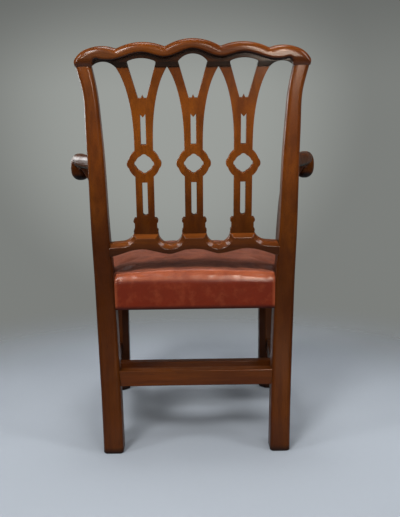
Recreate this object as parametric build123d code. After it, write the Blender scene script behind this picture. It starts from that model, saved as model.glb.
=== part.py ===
"""Child's armchair: raked posts, a serpentine crest, three pierced splats and a stuffed leather seat.

Lengths are in millimetres. X runs to the sitter's left, Y to the back and Z up from the floor.
Each piece is first set out from the rear face of the posts at the seat, where Y is 0, and the
whole chair is then moved so that its box stands centred over the origin.
"""

import math
import os
from collections import namedtuple

from build123d import *

# Rear posts, each a leg and a stile sawn from one piece
BEND_RISE = 19.0
BACK_RAKE = 8.2
FOOT_KICK = 30.0
FOOT_SWEEP = 1.3
SEAT_OUTER = 167.2
FOOT_INSET = 8.2
BACK_SPREAD = 2.3
NECK_SPREAD = 12.3
FOOT_WIDTH = 34.0
SEAT_WIDTH = 33.5
WAIST_WIDTH = 26.0
NECK_WIDTH = 24.0
FOOT_DEPTH = 34.0
SEAT_DEPTH = 37.0
WAIST_DEPTH = 28.0
NECK_DEPTH = 22.0
WAIST_SHARE = 0.52
LEG_ROUND = 2.5
STILE_ROUND = 6.5
FOOT_EASE = 2.0

# Crest rail, its drops taken from its top and its arches' rises from the pads over the splats
CREST_TOP_HEIGHT = 680.0
CREST_VALLEY_DROP = 11.7
SIDE_LOBE_DROP = 5.0
OUTER_VALLEY_DROP = 14.4
EAR_LOBE_DROP = 10.5
EAR_TIP_DROP = 31.0
CREST_JOINT_DROP = 40.0
PAD_DEPTH = 1.5
ARCH_SIDE_RISE = 8.0
ARCH_FLARE = 2.4
ARCH_SPRING_ROUND = 3.5
CENTRE_ARCH_RISE = 19.3
SIDE_ARCH_RISE = 13.1
EAR_ARCH_RISE = 8.2
EAR_REACH = 2.1
EAR_LIP = 0.5
CREST_OVERHANG = 5.0
CREST_THICKNESS = 26.0
CREST_REAR_ROUND = 9.0
CREST_FRONT_ROUND = 5.0
CREST_ROLL_DEPTH = 17.0
CREST_ROLL_ROUND = 6.5
CREST_RECESS = 11.0
CREST_RECESS_INSET = 2.5
CREST_RECESS_ROUND = 6.0
CREST_NECK_RISE = 14.0
VALLEY_ROUND = 5.0

# Splats, with shares of their height from the lower rail to the crest
SPLAT_SPACING = 79.5
SPLAT_SETBACK = 8.0
SPLAT_THICKNESS = 10.0
SHAFT_HALF = 14.8
FORK_CLEARANCE = 0.15
FORK_GAP_HALF = 20.3
CROTCH_SHARE = 0.8225
CROTCH_HALF = 6.8
FINIAL_HEIGHT = 5.0
FINIAL_HALF = 2.4
RING_SHARE = 0.4355
RING_RADIUS = 25.4
RING_LOBE_RADIUS = 9.0
RING_LOBE_REACH = 2.4
FOIL_RADIUS = 5.5
EYE_RADIUS = 13.8
FOIL_REACH = 2.0
SLOT_HALF = 4.2
UPPER_SLOT_SHARES = (0.5505, 0.73)
LOWER_SLOT_SHARES = (0.1165, 0.322)
PLINTH_HALF = 18.4
PLINTH_HEIGHT = 26.5
BEAD_RADIUS = 4.6
BEAD_REACH = 2.0

# Lower back rail, its clearance taken from the edge of the seat and its rises from its ends
LOWER_RAIL_CLEARANCE = 27.5
LOWER_RAIL_DEPTH = 39.2
LOWER_RAIL_END_DEPTH = 22.0
LOWER_RAIL_CROWN_RISE = 14.5
LOWER_RAIL_DIP_RISE = 6.5
LOWER_RAIL_VALLEY = 19.0
HUMP_HALF = 20.4
LOWER_RAIL_SETBACK = 1.5
LOWER_RAIL_THICKNESS = 20.5
LOWER_RAIL_BEVEL = 6.5

# Seat frame and front legs
RAIL_BOTTOM = 246.0
RAIL_HEIGHT = 44.0
RAIL_THICKNESS = 22.0
FRAME_DEPTH = 322.0
FRONT_LEG_SIZE = 37.0
FRONT_LEG_SPREAD = 7.3
FRONT_LEG_CHAMFER = 12.0
REAR_RAIL_SETBACK = 3.0
SIDE_RAIL_INSET = 1.2

# Stretchers
STRETCHER_BOTTOM = 80.0
STRETCHER_HEIGHT = 27.0
STRETCHER_THICKNESS = 18.0
REAR_STRETCHER_BOTTOM = 112.5
REAR_STRETCHER_THICKNESS = 20.0
REAR_STRETCHER_SETBACK = 5.0
STRETCHER_ROUND = 1.5

# Arms and their supports
ARM_RISE = 212.0
ARM_REAR_WIDTH = 24.0
ARM_FRONT_WIDTH = 27.0
ARM_DEPTH = 23.0
ARM_SPREAD = 51.5
ARM_REACH = 168.0
ARM_ROUND = 7.0
ARM_FRONT_ROUND = 11.0
SCROLL_RADIUS = 24.5
SCROLL_WIDTH = 33.0
SCROLL_ROUND = 15.0
SUPPORT_WIDTH = 21.0
SUPPORT_FOOT_DEPTH = 30.0
SUPPORT_WAIST_DEPTH = 22.0
SUPPORT_INSET = 9.7
SUPPORT_FOOT_SET = 178.0
SUPPORT_HEAD_SET = 128.0
SUPPORT_FOOT_RISE = 10.0

# Tenons and fits
TENON_LENGTH = 15.0
TENON_SHARE = 0.38
TENON_SHOULDER = 4.5
TENON_CLEARANCE = 0.15
TENON_END_GAP = 1.0
STUB_LENGTH = 8.0
LEATHER_GAP = 0.5

# Corner blocks
BLOCK_REACH = 58.0
BLOCK_INSET = 6.0

# Upholstery
LEATHER = 2.0
FLANGE = 13.0
SEAT_EDGE_RISE = 17.0
SEAT_CROWN = 14.0
SEAT_END_CROWN = 3.5
SEAT_EDGE_ROUND = 13.0
WEBBING_THICKNESS = 1.2
WEBBING_WIDTH = 45.0
STRAPS_EACH_WAY = 3
STRAP_LAP = 9.0
HESSIAN_THICKNESS = 0.8
HESSIAN_INSET = 9.0
STUFFING_GAP = 0.2

# Tacks and screws
TACK_HEAD_RADIUS = 2.6
TACK_HEAD_THICKNESS = 0.8
TACK_SHANK_RADIUS = 0.7
TACK_LENGTH = 9.0
TACK_PITCH = 28.0
TACKS_PER_STRAP_END = 3
SCREW_HEAD_RADIUS = 3.4
SCREW_HEAD_THICKNESS = 2.4
SCREW_SHANK_RADIUS = 1.8
SCREW_LENGTH = 20.0
SCREW_SLOT = 0.9
SCREW_POCKET = 9.0
HOLE_CLEARANCE = 0.1

# How near two places count as one
NEAR = 0.01

# Levels and lines that follow from the sizes above
RAIL_TOP = RAIL_BOTTOM + RAIL_HEIGHT
RAIL_MIDDLE = RAIL_BOTTOM + RAIL_HEIGHT / 2
BEND_HEIGHT = RAIL_BOTTOM + BEND_RISE
SEAT_EDGE_HEIGHT = RAIL_TOP + SEAT_EDGE_RISE
ARM_TOP = RAIL_TOP + ARM_RISE
SUPPORT_FOOT_BOTTOM = RAIL_BOTTOM + SUPPORT_FOOT_RISE
LOWER_RAIL_END_BOTTOM = SEAT_EDGE_HEIGHT + LOWER_RAIL_CLEARANCE
LOWER_RAIL_END_TOP = LOWER_RAIL_END_BOTTOM + LOWER_RAIL_END_DEPTH
LOWER_RAIL_CROWN = LOWER_RAIL_END_BOTTOM + LOWER_RAIL_CROWN_RISE
LOWER_RAIL_DIP = LOWER_RAIL_END_BOTTOM + LOWER_RAIL_DIP_RISE
LOWER_RAIL_TOP = LOWER_RAIL_END_BOTTOM + LOWER_RAIL_DEPTH
CREST_JOINT_HEIGHT = CREST_TOP_HEIGHT - CREST_JOINT_DROP
CREST_PAD_HEIGHT = CREST_JOINT_HEIGHT - PAD_DEPTH
CREST_VALLEY_HEIGHT = CREST_TOP_HEIGHT - CREST_VALLEY_DROP
SIDE_LOBE_HEIGHT = CREST_TOP_HEIGHT - SIDE_LOBE_DROP
OUTER_VALLEY_HEIGHT = CREST_TOP_HEIGHT - OUTER_VALLEY_DROP
EAR_LOBE_HEIGHT = CREST_TOP_HEIGHT - EAR_LOBE_DROP
EAR_TIP_HEIGHT = CREST_TOP_HEIGHT - EAR_TIP_DROP
CENTRE_ARCH_HEIGHT = CREST_PAD_HEIGHT + CENTRE_ARCH_RISE
SIDE_ARCH_HEIGHT = CREST_PAD_HEIGHT + SIDE_ARCH_RISE
EAR_ARCH_HEIGHT = CREST_PAD_HEIGHT + EAR_ARCH_RISE
FOOT_OUTER = SEAT_OUTER - FOOT_INSET
BACK_OUTER = SEAT_OUTER + BACK_SPREAD
NECK_OUTER = SEAT_OUTER + NECK_SPREAD
EAR_TIP_OUTER = NECK_OUTER + EAR_REACH
FORK_HALF = SPLAT_SPACING / 2 - FORK_CLEARANCE
SIDE_RAIL_REAR_OUTER = SEAT_OUTER - SIDE_RAIL_INSET
SUPPORT_FOOT_INNER = SEAT_OUTER - SUPPORT_INSET
FRONT_LEG_OUTER = SEAT_OUTER + FRONT_LEG_SPREAD
STRETCHER_TOP = STRETCHER_BOTTOM + STRETCHER_HEIGHT
REAR_STRETCHER_TOP = REAR_STRETCHER_BOTTOM + STRETCHER_HEIGHT
FRONT_LEG_INNER = FRONT_LEG_OUTER - FRONT_LEG_SIZE
FRONT_LEG_REAR = FRONT_LEG_SIZE - FRAME_DEPTH
WEBBING_TOP = RAIL_TOP + 2 * WEBBING_THICKNESS
HESSIAN_TOP = WEBBING_TOP + HESSIAN_THICKNESS
RAKE_SIN = math.sin(math.radians(BACK_RAKE))
RAKE_COS = math.cos(math.radians(BACK_RAKE))

# The raked plane of the posts' rear faces, with its third axis towards the sitter
BACK_PLANE = Plane(origin=(0, 0, BEND_HEIGHT), x_dir=(1, 0, 0), z_dir=(0, -RAKE_COS, RAKE_SIN))

Station = namedtuple("Station", "height outer width depth")


def blend(first, second, share):
    """The value a share of the way from the first to the second."""
    return first + (second - first) * share


def splat_height(share):
    """The height a share of the way up the splats, from the lower rail to the crest."""
    return blend(LOWER_RAIL_TOP, CREST_PAD_HEIGHT, share)


def up(height):
    """The distance along the raked plane to a height above the floor."""
    return (height - BEND_HEIGHT) / RAKE_COS


def mirrored(piece):
    """The right-hand piece that matches a left-hand one."""
    return mirror(piece, about=Plane.YZ)


def largest(shape):
    """The main solid of a shape that was cut."""
    return max(shape.solids(), key=lambda solid: solid.volume)


def level_bar(start, end, width, bottom, top):
    """A level bar between two points in plan."""
    run_x = end[0] - start[0]
    run_y = end[1] - start[1]
    turn = Rot(0, 0, math.degrees(math.atan2(run_y, run_x)))
    middle = Pos((start[0] + end[0]) / 2, (start[1] + end[1]) / 2, (bottom + top) / 2)
    return middle * turn * Box(math.hypot(run_x, run_y), width, top - bottom)


def block(x_range, y_range, z_range):
    """A block between limits in each direction."""
    size = [limits[1] - limits[0] for limits in (x_range, y_range, z_range)]
    centre = [(limits[1] + limits[0]) / 2 for limits in (x_range, y_range, z_range)]
    return Pos(*centre) * Box(*size)


def back_block(x_range, height_range, forward_range):
    """A block lined up with the raked back."""
    return BACK_PLANE * block(x_range, (up(height_range[0]), up(height_range[1])), forward_range)


def board(outline, setback, thickness):
    """A board cut to an outline in the raked back, its rear face a setback before the posts'."""
    return extrude(BACK_PLANE.offset(setback) * outline, thickness)


# Rear posts

WAIST_HEIGHT = blend(LOWER_RAIL_TOP, CREST_JOINT_HEIGHT, WAIST_SHARE)

POST_STATIONS = (
    Station(0.0, FOOT_OUTER, FOOT_WIDTH, FOOT_DEPTH),
    Station(
        0.5 * BEND_HEIGHT,
        blend(FOOT_OUTER, SEAT_OUTER, 0.52),
        blend(FOOT_WIDTH, SEAT_WIDTH, 0.5),
        blend(FOOT_DEPTH, SEAT_DEPTH, 0.5),
    ),
    Station(0.89 * BEND_HEIGHT, SEAT_OUTER, SEAT_WIDTH, SEAT_DEPTH),
    Station(
        1.13 * BEND_HEIGHT,
        blend(SEAT_OUTER, BACK_OUTER, 0.5),
        blend(SEAT_WIDTH, WAIST_WIDTH, 0.18),
        blend(SEAT_DEPTH, WAIST_DEPTH, 0.12),
    ),
    Station(
        LOWER_RAIL_TOP,
        BACK_OUTER,
        blend(SEAT_WIDTH, WAIST_WIDTH, 0.53),
        blend(SEAT_DEPTH, WAIST_DEPTH, 0.45),
    ),
    Station(WAIST_HEIGHT, BACK_OUTER, WAIST_WIDTH, WAIST_DEPTH),
    Station(
        blend(WAIST_HEIGHT, CREST_JOINT_HEIGHT, 0.4),
        blend(BACK_OUTER, NECK_OUTER, 0.02),
        blend(WAIST_WIDTH, NECK_WIDTH, 1.2),
        blend(WAIST_DEPTH, NECK_DEPTH, 0.4),
    ),
    Station(
        blend(WAIST_HEIGHT, CREST_JOINT_HEIGHT, 0.7),
        blend(BACK_OUTER, NECK_OUTER, 0.14),
        blend(WAIST_WIDTH, NECK_WIDTH, 2.0),
        blend(WAIST_DEPTH, NECK_DEPTH, 0.7),
    ),
    Station(CREST_JOINT_HEIGHT, NECK_OUTER, NECK_WIDTH, NECK_DEPTH),
)


def post_rear(height):
    """The rear face of a post at a height."""
    if height < BEND_HEIGHT:
        return FOOT_KICK * ((BEND_HEIGHT - height) / BEND_HEIGHT) ** FOOT_SWEEP
    return (height - BEND_HEIGHT) * RAKE_SIN / RAKE_COS


def post_at(height):
    """The section of a post at a height between its stations."""
    for low, high in zip(POST_STATIONS, POST_STATIONS[1:]):
        if height <= high.height:
            break
    share = (height - low.height) / (high.height - low.height)
    return Station(height, *(blend(a, b, share) for a, b in zip(low[1:], high[1:])))


def post_inner(height):
    """The inner face of a post at a height."""
    section = post_at(height)
    return section.outer - section.width


def post_front(height):
    """The front face of a post at a height."""
    return post_rear(height) - post_at(height).depth


def post_middle(height):
    """The middle of a post from side to side at a height."""
    section = post_at(height)
    return section.outer - section.width / 2


def closed_face(first, second):
    """A face between two edges, each a list of curves from the floor up."""
    curves = [*first, *second, Line(first[0] @ 0, second[0] @ 0), Line(first[-1] @ 1, second[-1] @ 1)]
    return make_face(curves)


def make_post():
    """The left post without its mortises, sawn from the side and the front and then rounded."""
    head = POST_STATIONS[-1]
    lift = NECK_DEPTH
    stations = POST_STATIONS + (head._replace(height=head.height + lift, outer=head.outer + 0.2 * lift),)
    rear = Spline(*((post_rear(station.height), station.height) for station in stations))
    front = Spline(*((post_rear(station.height) - station.depth, station.height) for station in stations))
    outer = Spline(*((station.outer, station.height) for station in stations))
    inner = Spline(*((station.outer - station.width, station.height) for station in stations))
    from_side = extrude(Plane.YZ * closed_face([rear], [front]), 2 * NECK_OUTER)
    from_front = extrude(Plane.XZ * closed_face([outer], [inner]), 3 * FRAME_DEPTH, both=True)
    post = from_side & from_front
    post = fillet(long_edges(post)[2:], STILE_ROUND)
    post = fillet(long_edges(post)[:2], LEG_ROUND)
    post = chamfer(post.faces().sort_by(Axis.Z)[0].edges(), FOOT_EASE)
    above = back_block(
        (0, 2 * NECK_OUTER),
        (CREST_JOINT_HEIGHT, CREST_JOINT_HEIGHT + 3 * NECK_DEPTH),
        (-2 * NECK_DEPTH, 3 * NECK_DEPTH),
    )
    return largest(post - above)


def long_edges(post):
    """The four long edges of a square post, front ones first."""
    longest = post.edges().sort_by(SortBy.LENGTH)[-4:]
    return longest.sort_by(Axis.Y)


# Crest rail


def crest_outline():
    """The outline of the crest rail: five lobes above and five arches below."""
    ear_arch_inner = SPLAT_SPACING + FORK_HALF
    fork_outer = SPLAT_SPACING + FORK_GAP_HALF
    fork_inner = SPLAT_SPACING - FORK_GAP_HALF
    pad = up(CREST_PAD_HEIGHT)
    spring = pad + ARCH_SIDE_RISE
    joint = up(CREST_JOINT_HEIGHT)
    valley = (0.235 * EAR_TIP_OUTER, up(CREST_VALLEY_HEIGHT))
    outer_valley = (0.65 * EAR_TIP_OUTER, up(OUTER_VALLEY_HEIGHT))
    ear_top = (0.892 * EAR_TIP_OUTER, up(blend(EAR_LOBE_HEIGHT, EAR_TIP_HEIGHT, 0.19)))
    ear_side = (0.961 * EAR_TIP_OUTER, up(blend(EAR_LOBE_HEIGHT, EAR_TIP_HEIGHT, 0.56)))
    tip = (EAR_TIP_OUTER, up(EAR_TIP_HEIGHT))
    joint_outer = (NECK_OUTER + EAR_LIP, joint)
    joint_inner = (NECK_OUTER - NECK_WIDTH, joint)
    half = (
        TangentArc((0, up(CREST_TOP_HEIGHT)), valley, tangent=(1, 0))
        + ThreePointArc(valley, (0.413 * EAR_TIP_OUTER, up(SIDE_LOBE_HEIGHT)), outer_valley)
        + ThreePointArc(outer_valley, (0.765 * EAR_TIP_OUTER, up(EAR_LOBE_HEIGHT)), ear_top)
        + ThreePointArc(ear_top, ear_side, tip)
        + Line(tip, joint_outer)
        + Line(joint_outer, joint_inner)
        + ThreePointArc(
            joint_inner,
            (blend(ear_arch_inner, joint_inner[0], 0.52), up(EAR_ARCH_HEIGHT)),
            (ear_arch_inner, pad),
        )
        + Line((ear_arch_inner, pad), (fork_outer, pad))
        + Line((fork_outer, pad), (fork_outer + ARCH_FLARE, spring))
        + ThreePointArc(
            (fork_outer + ARCH_FLARE, spring),
            (SPLAT_SPACING, up(SIDE_ARCH_HEIGHT)),
            (fork_inner - ARCH_FLARE, spring),
        )
        + Line((fork_inner - ARCH_FLARE, spring), (fork_inner, pad))
        + Line((fork_inner, pad), (FORK_GAP_HALF, pad))
        + Line((FORK_GAP_HALF, pad), (FORK_GAP_HALF + ARCH_FLARE, spring))
        + TangentArc((0, up(CENTRE_ARCH_HEIGHT)), (FORK_GAP_HALF + ARCH_FLARE, spring), tangent=(1, 0))
    )
    outline = make_face(half + mirrored(half))
    sides = (fork_outer + ARCH_FLARE, fork_inner - ARCH_FLARE, FORK_GAP_HALF + ARCH_FLARE)
    springs = [(across, spring) for across in sides]
    outline = fillet(corners_at(outline, springs), ARCH_SPRING_ROUND)
    return fillet(corners_at(outline, (valley, outer_valley)), VALLEY_ROUND)


def corners_at(outline, points):
    """The corners of an outline at these points and at the same points across the middle."""
    return [
        vertex
        for vertex in outline.vertices()
        for point in points
        if math.hypot(abs(vertex.X) - point[0], vertex.Y - point[1]) < NEAR
    ]


def make_crest():
    """The crest rail with its rolled edges, without its mortises."""
    rear = -CREST_OVERHANG
    rail = board(crest_outline(), rear, CREST_THICKNESS)
    rail = fillet(lobe_edges(rail, rear), CREST_REAR_ROUND)
    rail = fillet(lobe_edges(rail, rear + CREST_THICKNESS), CREST_FRONT_ROUND)
    recess = crest_recess()
    rail -= board(recess, rear, CREST_RECESS)
    rail = fillet(edges_around(rail, recess, rear), CREST_ROLL_ROUND)
    return largest(rail - neck_roundings(rear))


def neck_roundings(rear):
    """What is cut off the lower rear edges of the crest rail to lead its ears into the posts."""
    radius = (CREST_NECK_RISE**2 + CREST_OVERHANG**2) / (2 * CREST_OVERHANG)
    height = up(CREST_JOINT_HEIGHT) + CREST_NECK_RISE
    inner = NECK_OUTER - NECK_WIDTH - CREST_RECESS_INSET
    length = EAR_TIP_OUTER - inner + EAR_REACH
    edge = Box(length, CREST_NECK_RISE, radius, align=(Align.MIN, Align.MAX, Align.MAX))
    edge -= Cylinder(radius, 3 * length, rotation=(0, 90, 0))
    return [BACK_PLANE * Pos(across, height, rear + radius) * edge for across in (inner, -inner - length)]


def crest_recess():
    """The outline of the set-back face between the posts, which follows the lobes under their roll."""
    reach = NECK_OUTER - NECK_WIDTH - CREST_RECESS_INSET
    half = (
        (0.235 * EAR_TIP_OUTER, up(CREST_VALLEY_HEIGHT)),
        (0.413 * EAR_TIP_OUTER, up(SIDE_LOBE_HEIGHT)),
        (0.65 * EAR_TIP_OUTER, up(OUTER_VALLEY_HEIGHT)),
        (reach, up(EAR_LOBE_HEIGHT)),
    )
    tops = [(-across, height) for across, height in reversed(half)]
    tops += [(0, up(CREST_TOP_HEIGHT)), *half]
    wave = Spline([(across, height - CREST_ROLL_DEPTH) for across, height in tops])
    low = up(CREST_PAD_HEIGHT) - PAD_DEPTH
    sides = Polyline(wave @ 1, (reach, low), (-reach, low), wave @ 0)
    recess = make_face(wave + sides)
    return fillet(corners_at(recess, [(reach, up(EAR_LOBE_HEIGHT) - CREST_ROLL_DEPTH)]), CREST_RECESS_ROUND)


def edges_around(rail, recess, forward):
    """The edges in a face of the crest rail that follow the outline of its recess."""
    middles = [(edge, BACK_PLANE.to_local_coords(edge @ 0.5)) for edge in edges_in_face(rail, forward)]
    return [edge for edge, middle in middles if recess.wire().distance_to((middle.X, middle.Y, 0)) < NEAR]


def edges_in_face(rail, forward):
    """The edges in the front or rear face of the crest rail."""
    return [
        edge
        for edge in rail.edges()
        if all(abs(BACK_PLANE.to_local_coords(edge @ share).Z - forward) < NEAR for share in (0, 0.5, 1))
    ]


def lobe_edges(rail, forward):
    """The edges in the front or rear face of the crest rail that run over its lobes."""
    high = up(CENTRE_ARCH_HEIGHT) + NEAR
    shares = (0, 0.5, 1)
    return [
        edge
        for edge in edges_in_face(rail, forward)
        if max(BACK_PLANE.to_local_coords(edge @ share).Y for share in shares) > high
    ]


# Splats


def splat_outline():
    """The outline of the centre splat with its piercings."""
    top = up(CREST_PAD_HEIGHT)
    ring = up(splat_height(RING_SHARE))
    foot = up(LOWER_RAIL_TOP)
    neck = ring + RING_RADIUS
    fork_side = Spline(
        (SHAFT_HALF, neck),
        (blend(SHAFT_HALF, FORK_HALF, 0.25), up(splat_height(CROTCH_SHARE)) - FINIAL_HEIGHT / 2),
        (FORK_HALF, top),
        tangents=((0, 1), (0.66, 1)),
    )
    right = fork_side + Line((FORK_HALF, top), (0, top))
    fork = make_face(right + mirrored(right) + Line((-SHAFT_HALF, neck), (SHAFT_HALF, neck)))
    shaft = Pos(0, (foot + neck) / 2) * Rectangle(2 * SHAFT_HALF, neck - foot)
    plinth = Pos(0, foot + PLINTH_HEIGHT / 2) * Rectangle(2 * PLINTH_HALF, PLINTH_HEIGHT)
    outline = fork + shaft + plinth + Pos(0, ring) * Circle(RING_RADIUS)
    for side in (-1, 1):
        lobe = RING_RADIUS + RING_LOBE_REACH - RING_LOBE_RADIUS
        outline += Pos(side * lobe, ring) * Circle(RING_LOBE_RADIUS)
        for rise in (BEAD_RADIUS, PLINTH_HEIGHT - BEAD_RADIUS):
            bead = PLINTH_HALF + BEAD_REACH - BEAD_RADIUS
            outline += Pos(side * bead, foot + rise) * Circle(BEAD_RADIUS)
    return outline - splat_piercings()


def splat_piercings():
    """The fork gap, the two slots and the four-lobed eye of the centre splat."""
    crotch = up(splat_height(CROTCH_SHARE))
    fork_gap = make_face(
        Polyline(
            (-CROTCH_HALF, crotch),
            (-FINIAL_HALF, crotch),
            (0, crotch + FINIAL_HEIGHT),
            (FINIAL_HALF, crotch),
            (CROTCH_HALF, crotch),
            (FORK_GAP_HALF, up(CREST_PAD_HEIGHT)),
            (-FORK_GAP_HALF, up(CREST_PAD_HEIGHT)),
            close=True,
        )
    )
    low, high = (up(splat_height(share)) for share in UPPER_SLOT_SHARES)
    upper_slot = make_face(
        Polyline(
            (-SLOT_HALF, low),
            (SLOT_HALF, low),
            (SLOT_HALF, high),
            (0, high - FINIAL_HEIGHT),
            (-SLOT_HALF, high),
            close=True,
        )
    )
    low, high = (up(splat_height(share)) for share in LOWER_SLOT_SHARES)
    low += SLOT_HALF
    lower_slot = Pos(0, (low + high) / 2) * Rectangle(2 * SLOT_HALF, high - low)
    lower_slot += Pos(0, low) * Circle(SLOT_HALF)
    ring = up(splat_height(RING_SHARE))
    eye = Pos(0, ring) * Circle(EYE_RADIUS)
    reach = EYE_RADIUS + FOIL_REACH - FOIL_RADIUS
    for across, rise in ((reach, 0), (-reach, 0), (0, reach), (0, -reach)):
        eye += Pos(across, ring + rise) * Circle(FOIL_RADIUS)
    return fork_gap + upper_slot + lower_slot + eye


def splat_tenons(clearance=0.0):
    """The stub tenons of the centre splat, or the mortises for them."""
    thickness = SPLAT_THICKNESS / 2 + 2 * clearance
    middle = SPLAT_SETBACK + SPLAT_THICKNESS / 2
    forward = (middle - thickness / 2, middle + thickness / 2)
    reach = STUB_LENGTH + (TENON_END_GAP if clearance else 0)
    arm_middle = (FORK_HALF + FORK_GAP_HALF) / 2
    arm_half = (FORK_HALF - FORK_GAP_HALF) / 4 + clearance
    head = (CREST_PAD_HEIGHT - TENON_SHOULDER, CREST_PAD_HEIGHT + reach)
    foot = (LOWER_RAIL_TOP - reach, LOWER_RAIL_TOP + TENON_SHOULDER)
    foot_half = PLINTH_HALF / 2 + clearance
    return [
        back_block((arm_middle - arm_half, arm_middle + arm_half), head, forward),
        back_block((-arm_middle - arm_half, -arm_middle + arm_half), head, forward),
        back_block((-foot_half, foot_half), foot, forward),
    ]


def make_splat():
    """The centre splat with its tenons."""
    return largest(board(splat_outline(), SPLAT_SETBACK, SPLAT_THICKNESS) + splat_tenons())


# Lower back rail


def lower_rail_outline(reach):
    """The outline of the lower back rail: three humps above and a wave below."""
    top = up(LOWER_RAIL_TOP)
    valley = (SPLAT_SPACING / 2, top - LOWER_RAIL_VALLEY)
    hump_inner = (SPLAT_SPACING - HUMP_HALF, top)
    hump_outer = (SPLAT_SPACING + HUMP_HALF, top)
    end_top = up(LOWER_RAIL_END_TOP)
    shoulder = (hump_outer[0] + HUMP_HALF, blend(end_top, top, 0.16))
    hollow = (blend(hump_outer[0], shoulder[0], 0.38), blend(top, end_top, 0.6))
    half = (
        Line((0, top), (HUMP_HALF, top))
        + ThreePointArc((HUMP_HALF, top), valley, hump_inner)
        + Line(hump_inner, hump_outer)
        + ThreePointArc(hump_outer, hollow, shoulder)
        + Line(shoulder, (reach, end_top))
        + Line((reach, end_top), (reach, up(LOWER_RAIL_END_BOTTOM)))
        + Spline(
            (reach, up(LOWER_RAIL_END_BOTTOM)),
            (SPLAT_SPACING * 1.04, up(LOWER_RAIL_CROWN)),
            (SPLAT_SPACING / 2, up(LOWER_RAIL_DIP)),
            (0, up(LOWER_RAIL_CROWN)),
            tangents=((-1, 0.1), (-1, 0)),
        )
    )
    return make_face(half + mirrored(half))


def lower_rail_tenons(clearance=0.0):
    """The tenons of the lower back rail, or the mortises for them."""
    root = lower_rail_reach() - TENON_LENGTH - TENON_SHOULDER
    reach = lower_rail_reach() + (TENON_END_GAP if clearance else 0)
    thickness = LOWER_RAIL_THICKNESS * TENON_SHARE + 2 * clearance
    middle = LOWER_RAIL_SETBACK + LOWER_RAIL_THICKNESS / 2
    heights = (
        LOWER_RAIL_END_BOTTOM + TENON_SHOULDER - clearance,
        LOWER_RAIL_END_TOP - TENON_SHOULDER + clearance,
    )
    forward = (middle - thickness / 2, middle + thickness / 2)
    return [back_block(across, heights, forward) for across in ((root, reach), (-reach, -root))]


def lower_rail_reach():
    """Half the length of the lower back rail over its tenons."""
    return post_inner(blend(LOWER_RAIL_END_BOTTOM, LOWER_RAIL_END_TOP, 0.5)) + TENON_LENGTH


def make_lower_rail(posts):
    """The lower back rail between the posts, without the mortises for the splats."""
    rail = board(lower_rail_outline(lower_rail_reach()), LOWER_RAIL_SETBACK, LOWER_RAIL_THICKNESS)
    bevelled = []
    for edge in rail.edges():
        middle = BACK_PLANE.to_local_coords(edge @ 0.5)
        in_rear = abs(middle.Z - LOWER_RAIL_SETBACK) < NEAR
        if in_rear and middle.Y > up(LOWER_RAIL_CROWN) + NEAR and abs(middle.X) < lower_rail_reach() - NEAR:
            bevelled.append(edge)
    rail = chamfer(bevelled, LOWER_RAIL_BEVEL)
    return largest(largest(rail - posts) + lower_rail_tenons())


# Seat frame, legs and stretchers


def joined_bar(start, end, width, bottom, top, hosts, rounding=0.0):
    """A rail coped to its hosts with a tenon at each end, and the mortises for those tenons."""
    bar = level_bar(start, end, width, bottom, top)
    if rounding:
        bar = fillet(bar.edges().sort_by(SortBy.LENGTH)[-4:], rounding)
    thickness = width * TENON_SHARE
    tongue = level_bar(start, end, thickness, bottom + TENON_SHOULDER, top - TENON_SHOULDER)
    length = math.dist(start, end)
    extra = (TENON_END_GAP + length) / length
    middle = [(a + b) / 2 for a, b in zip(start, end)]
    mortise = level_bar(
        [blend(m, a, extra) for m, a in zip(middle, start)],
        [blend(m, b, extra) for m, b in zip(middle, end)],
        thickness + 2 * TENON_CLEARANCE,
        bottom + TENON_SHOULDER - TENON_CLEARANCE,
        top - TENON_SHOULDER + TENON_CLEARANCE,
    )
    return largest(largest(bar - hosts) + tongue), mortise


def make_front_leg():
    """The left front leg without its mortises."""
    corners = [
        (FRONT_LEG_INNER, -FRAME_DEPTH),
        (FRONT_LEG_OUTER, -FRAME_DEPTH),
        (FRONT_LEG_OUTER, FRONT_LEG_REAR),
        (FRONT_LEG_INNER + FRONT_LEG_CHAMFER, FRONT_LEG_REAR),
        (FRONT_LEG_INNER, FRONT_LEG_REAR - FRONT_LEG_CHAMFER),
    ]
    leg = extrude(make_face(Polyline(*corners, close=True)), RAIL_TOP)
    return chamfer(leg.faces().sort_by(Axis.Z)[0].edges(), FOOT_EASE)


def side_rail_outer(y):
    """The outer face of the left side rail at a distance from the back."""
    rear = post_front(RAIL_MIDDLE)
    return blend(SIDE_RAIL_REAR_OUTER, FRONT_LEG_OUTER, (y - rear) / (FRONT_LEG_REAR - rear))


def side_rail_middle(y):
    """The middle line of the left side rail at a distance from the back."""
    return side_rail_outer(y) - RAIL_THICKNESS / 2


def make_corner_block(corner, inward, hosts):
    """A corner block that fills the corner of two rails beside a leg, without its screw holes."""
    triangle = make_face(
        Polyline(
            corner,
            (corner[0] + inward[0] * BLOCK_REACH, corner[1]),
            (corner[0], corner[1] + inward[1] * BLOCK_REACH),
            close=True,
        )
    )
    prism = Pos(0, 0, RAIL_BOTTOM + BLOCK_INSET) * extrude(triangle, RAIL_HEIGHT - 2 * BLOCK_INSET)
    return largest(prism - hosts)


# Arms


def arm_line(share):
    """The middle of the left arm in plan, a share of the way from the post to the scroll."""
    ease = share * share * (3 - 2 * share)
    start = post_front(arm_height()) + TENON_LENGTH / 2
    return post_middle(arm_height()) + ARM_SPREAD * ease, blend(start, -ARM_REACH, share)


def arm_height():
    """The middle height of the arms."""
    return ARM_TOP - ARM_DEPTH / 2


def arm_at(y):
    """The middle of the left arm from side to side at a distance from the back."""
    start = arm_line(0)[1]
    return arm_line((y - start) / (-ARM_REACH - start))[0]


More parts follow.
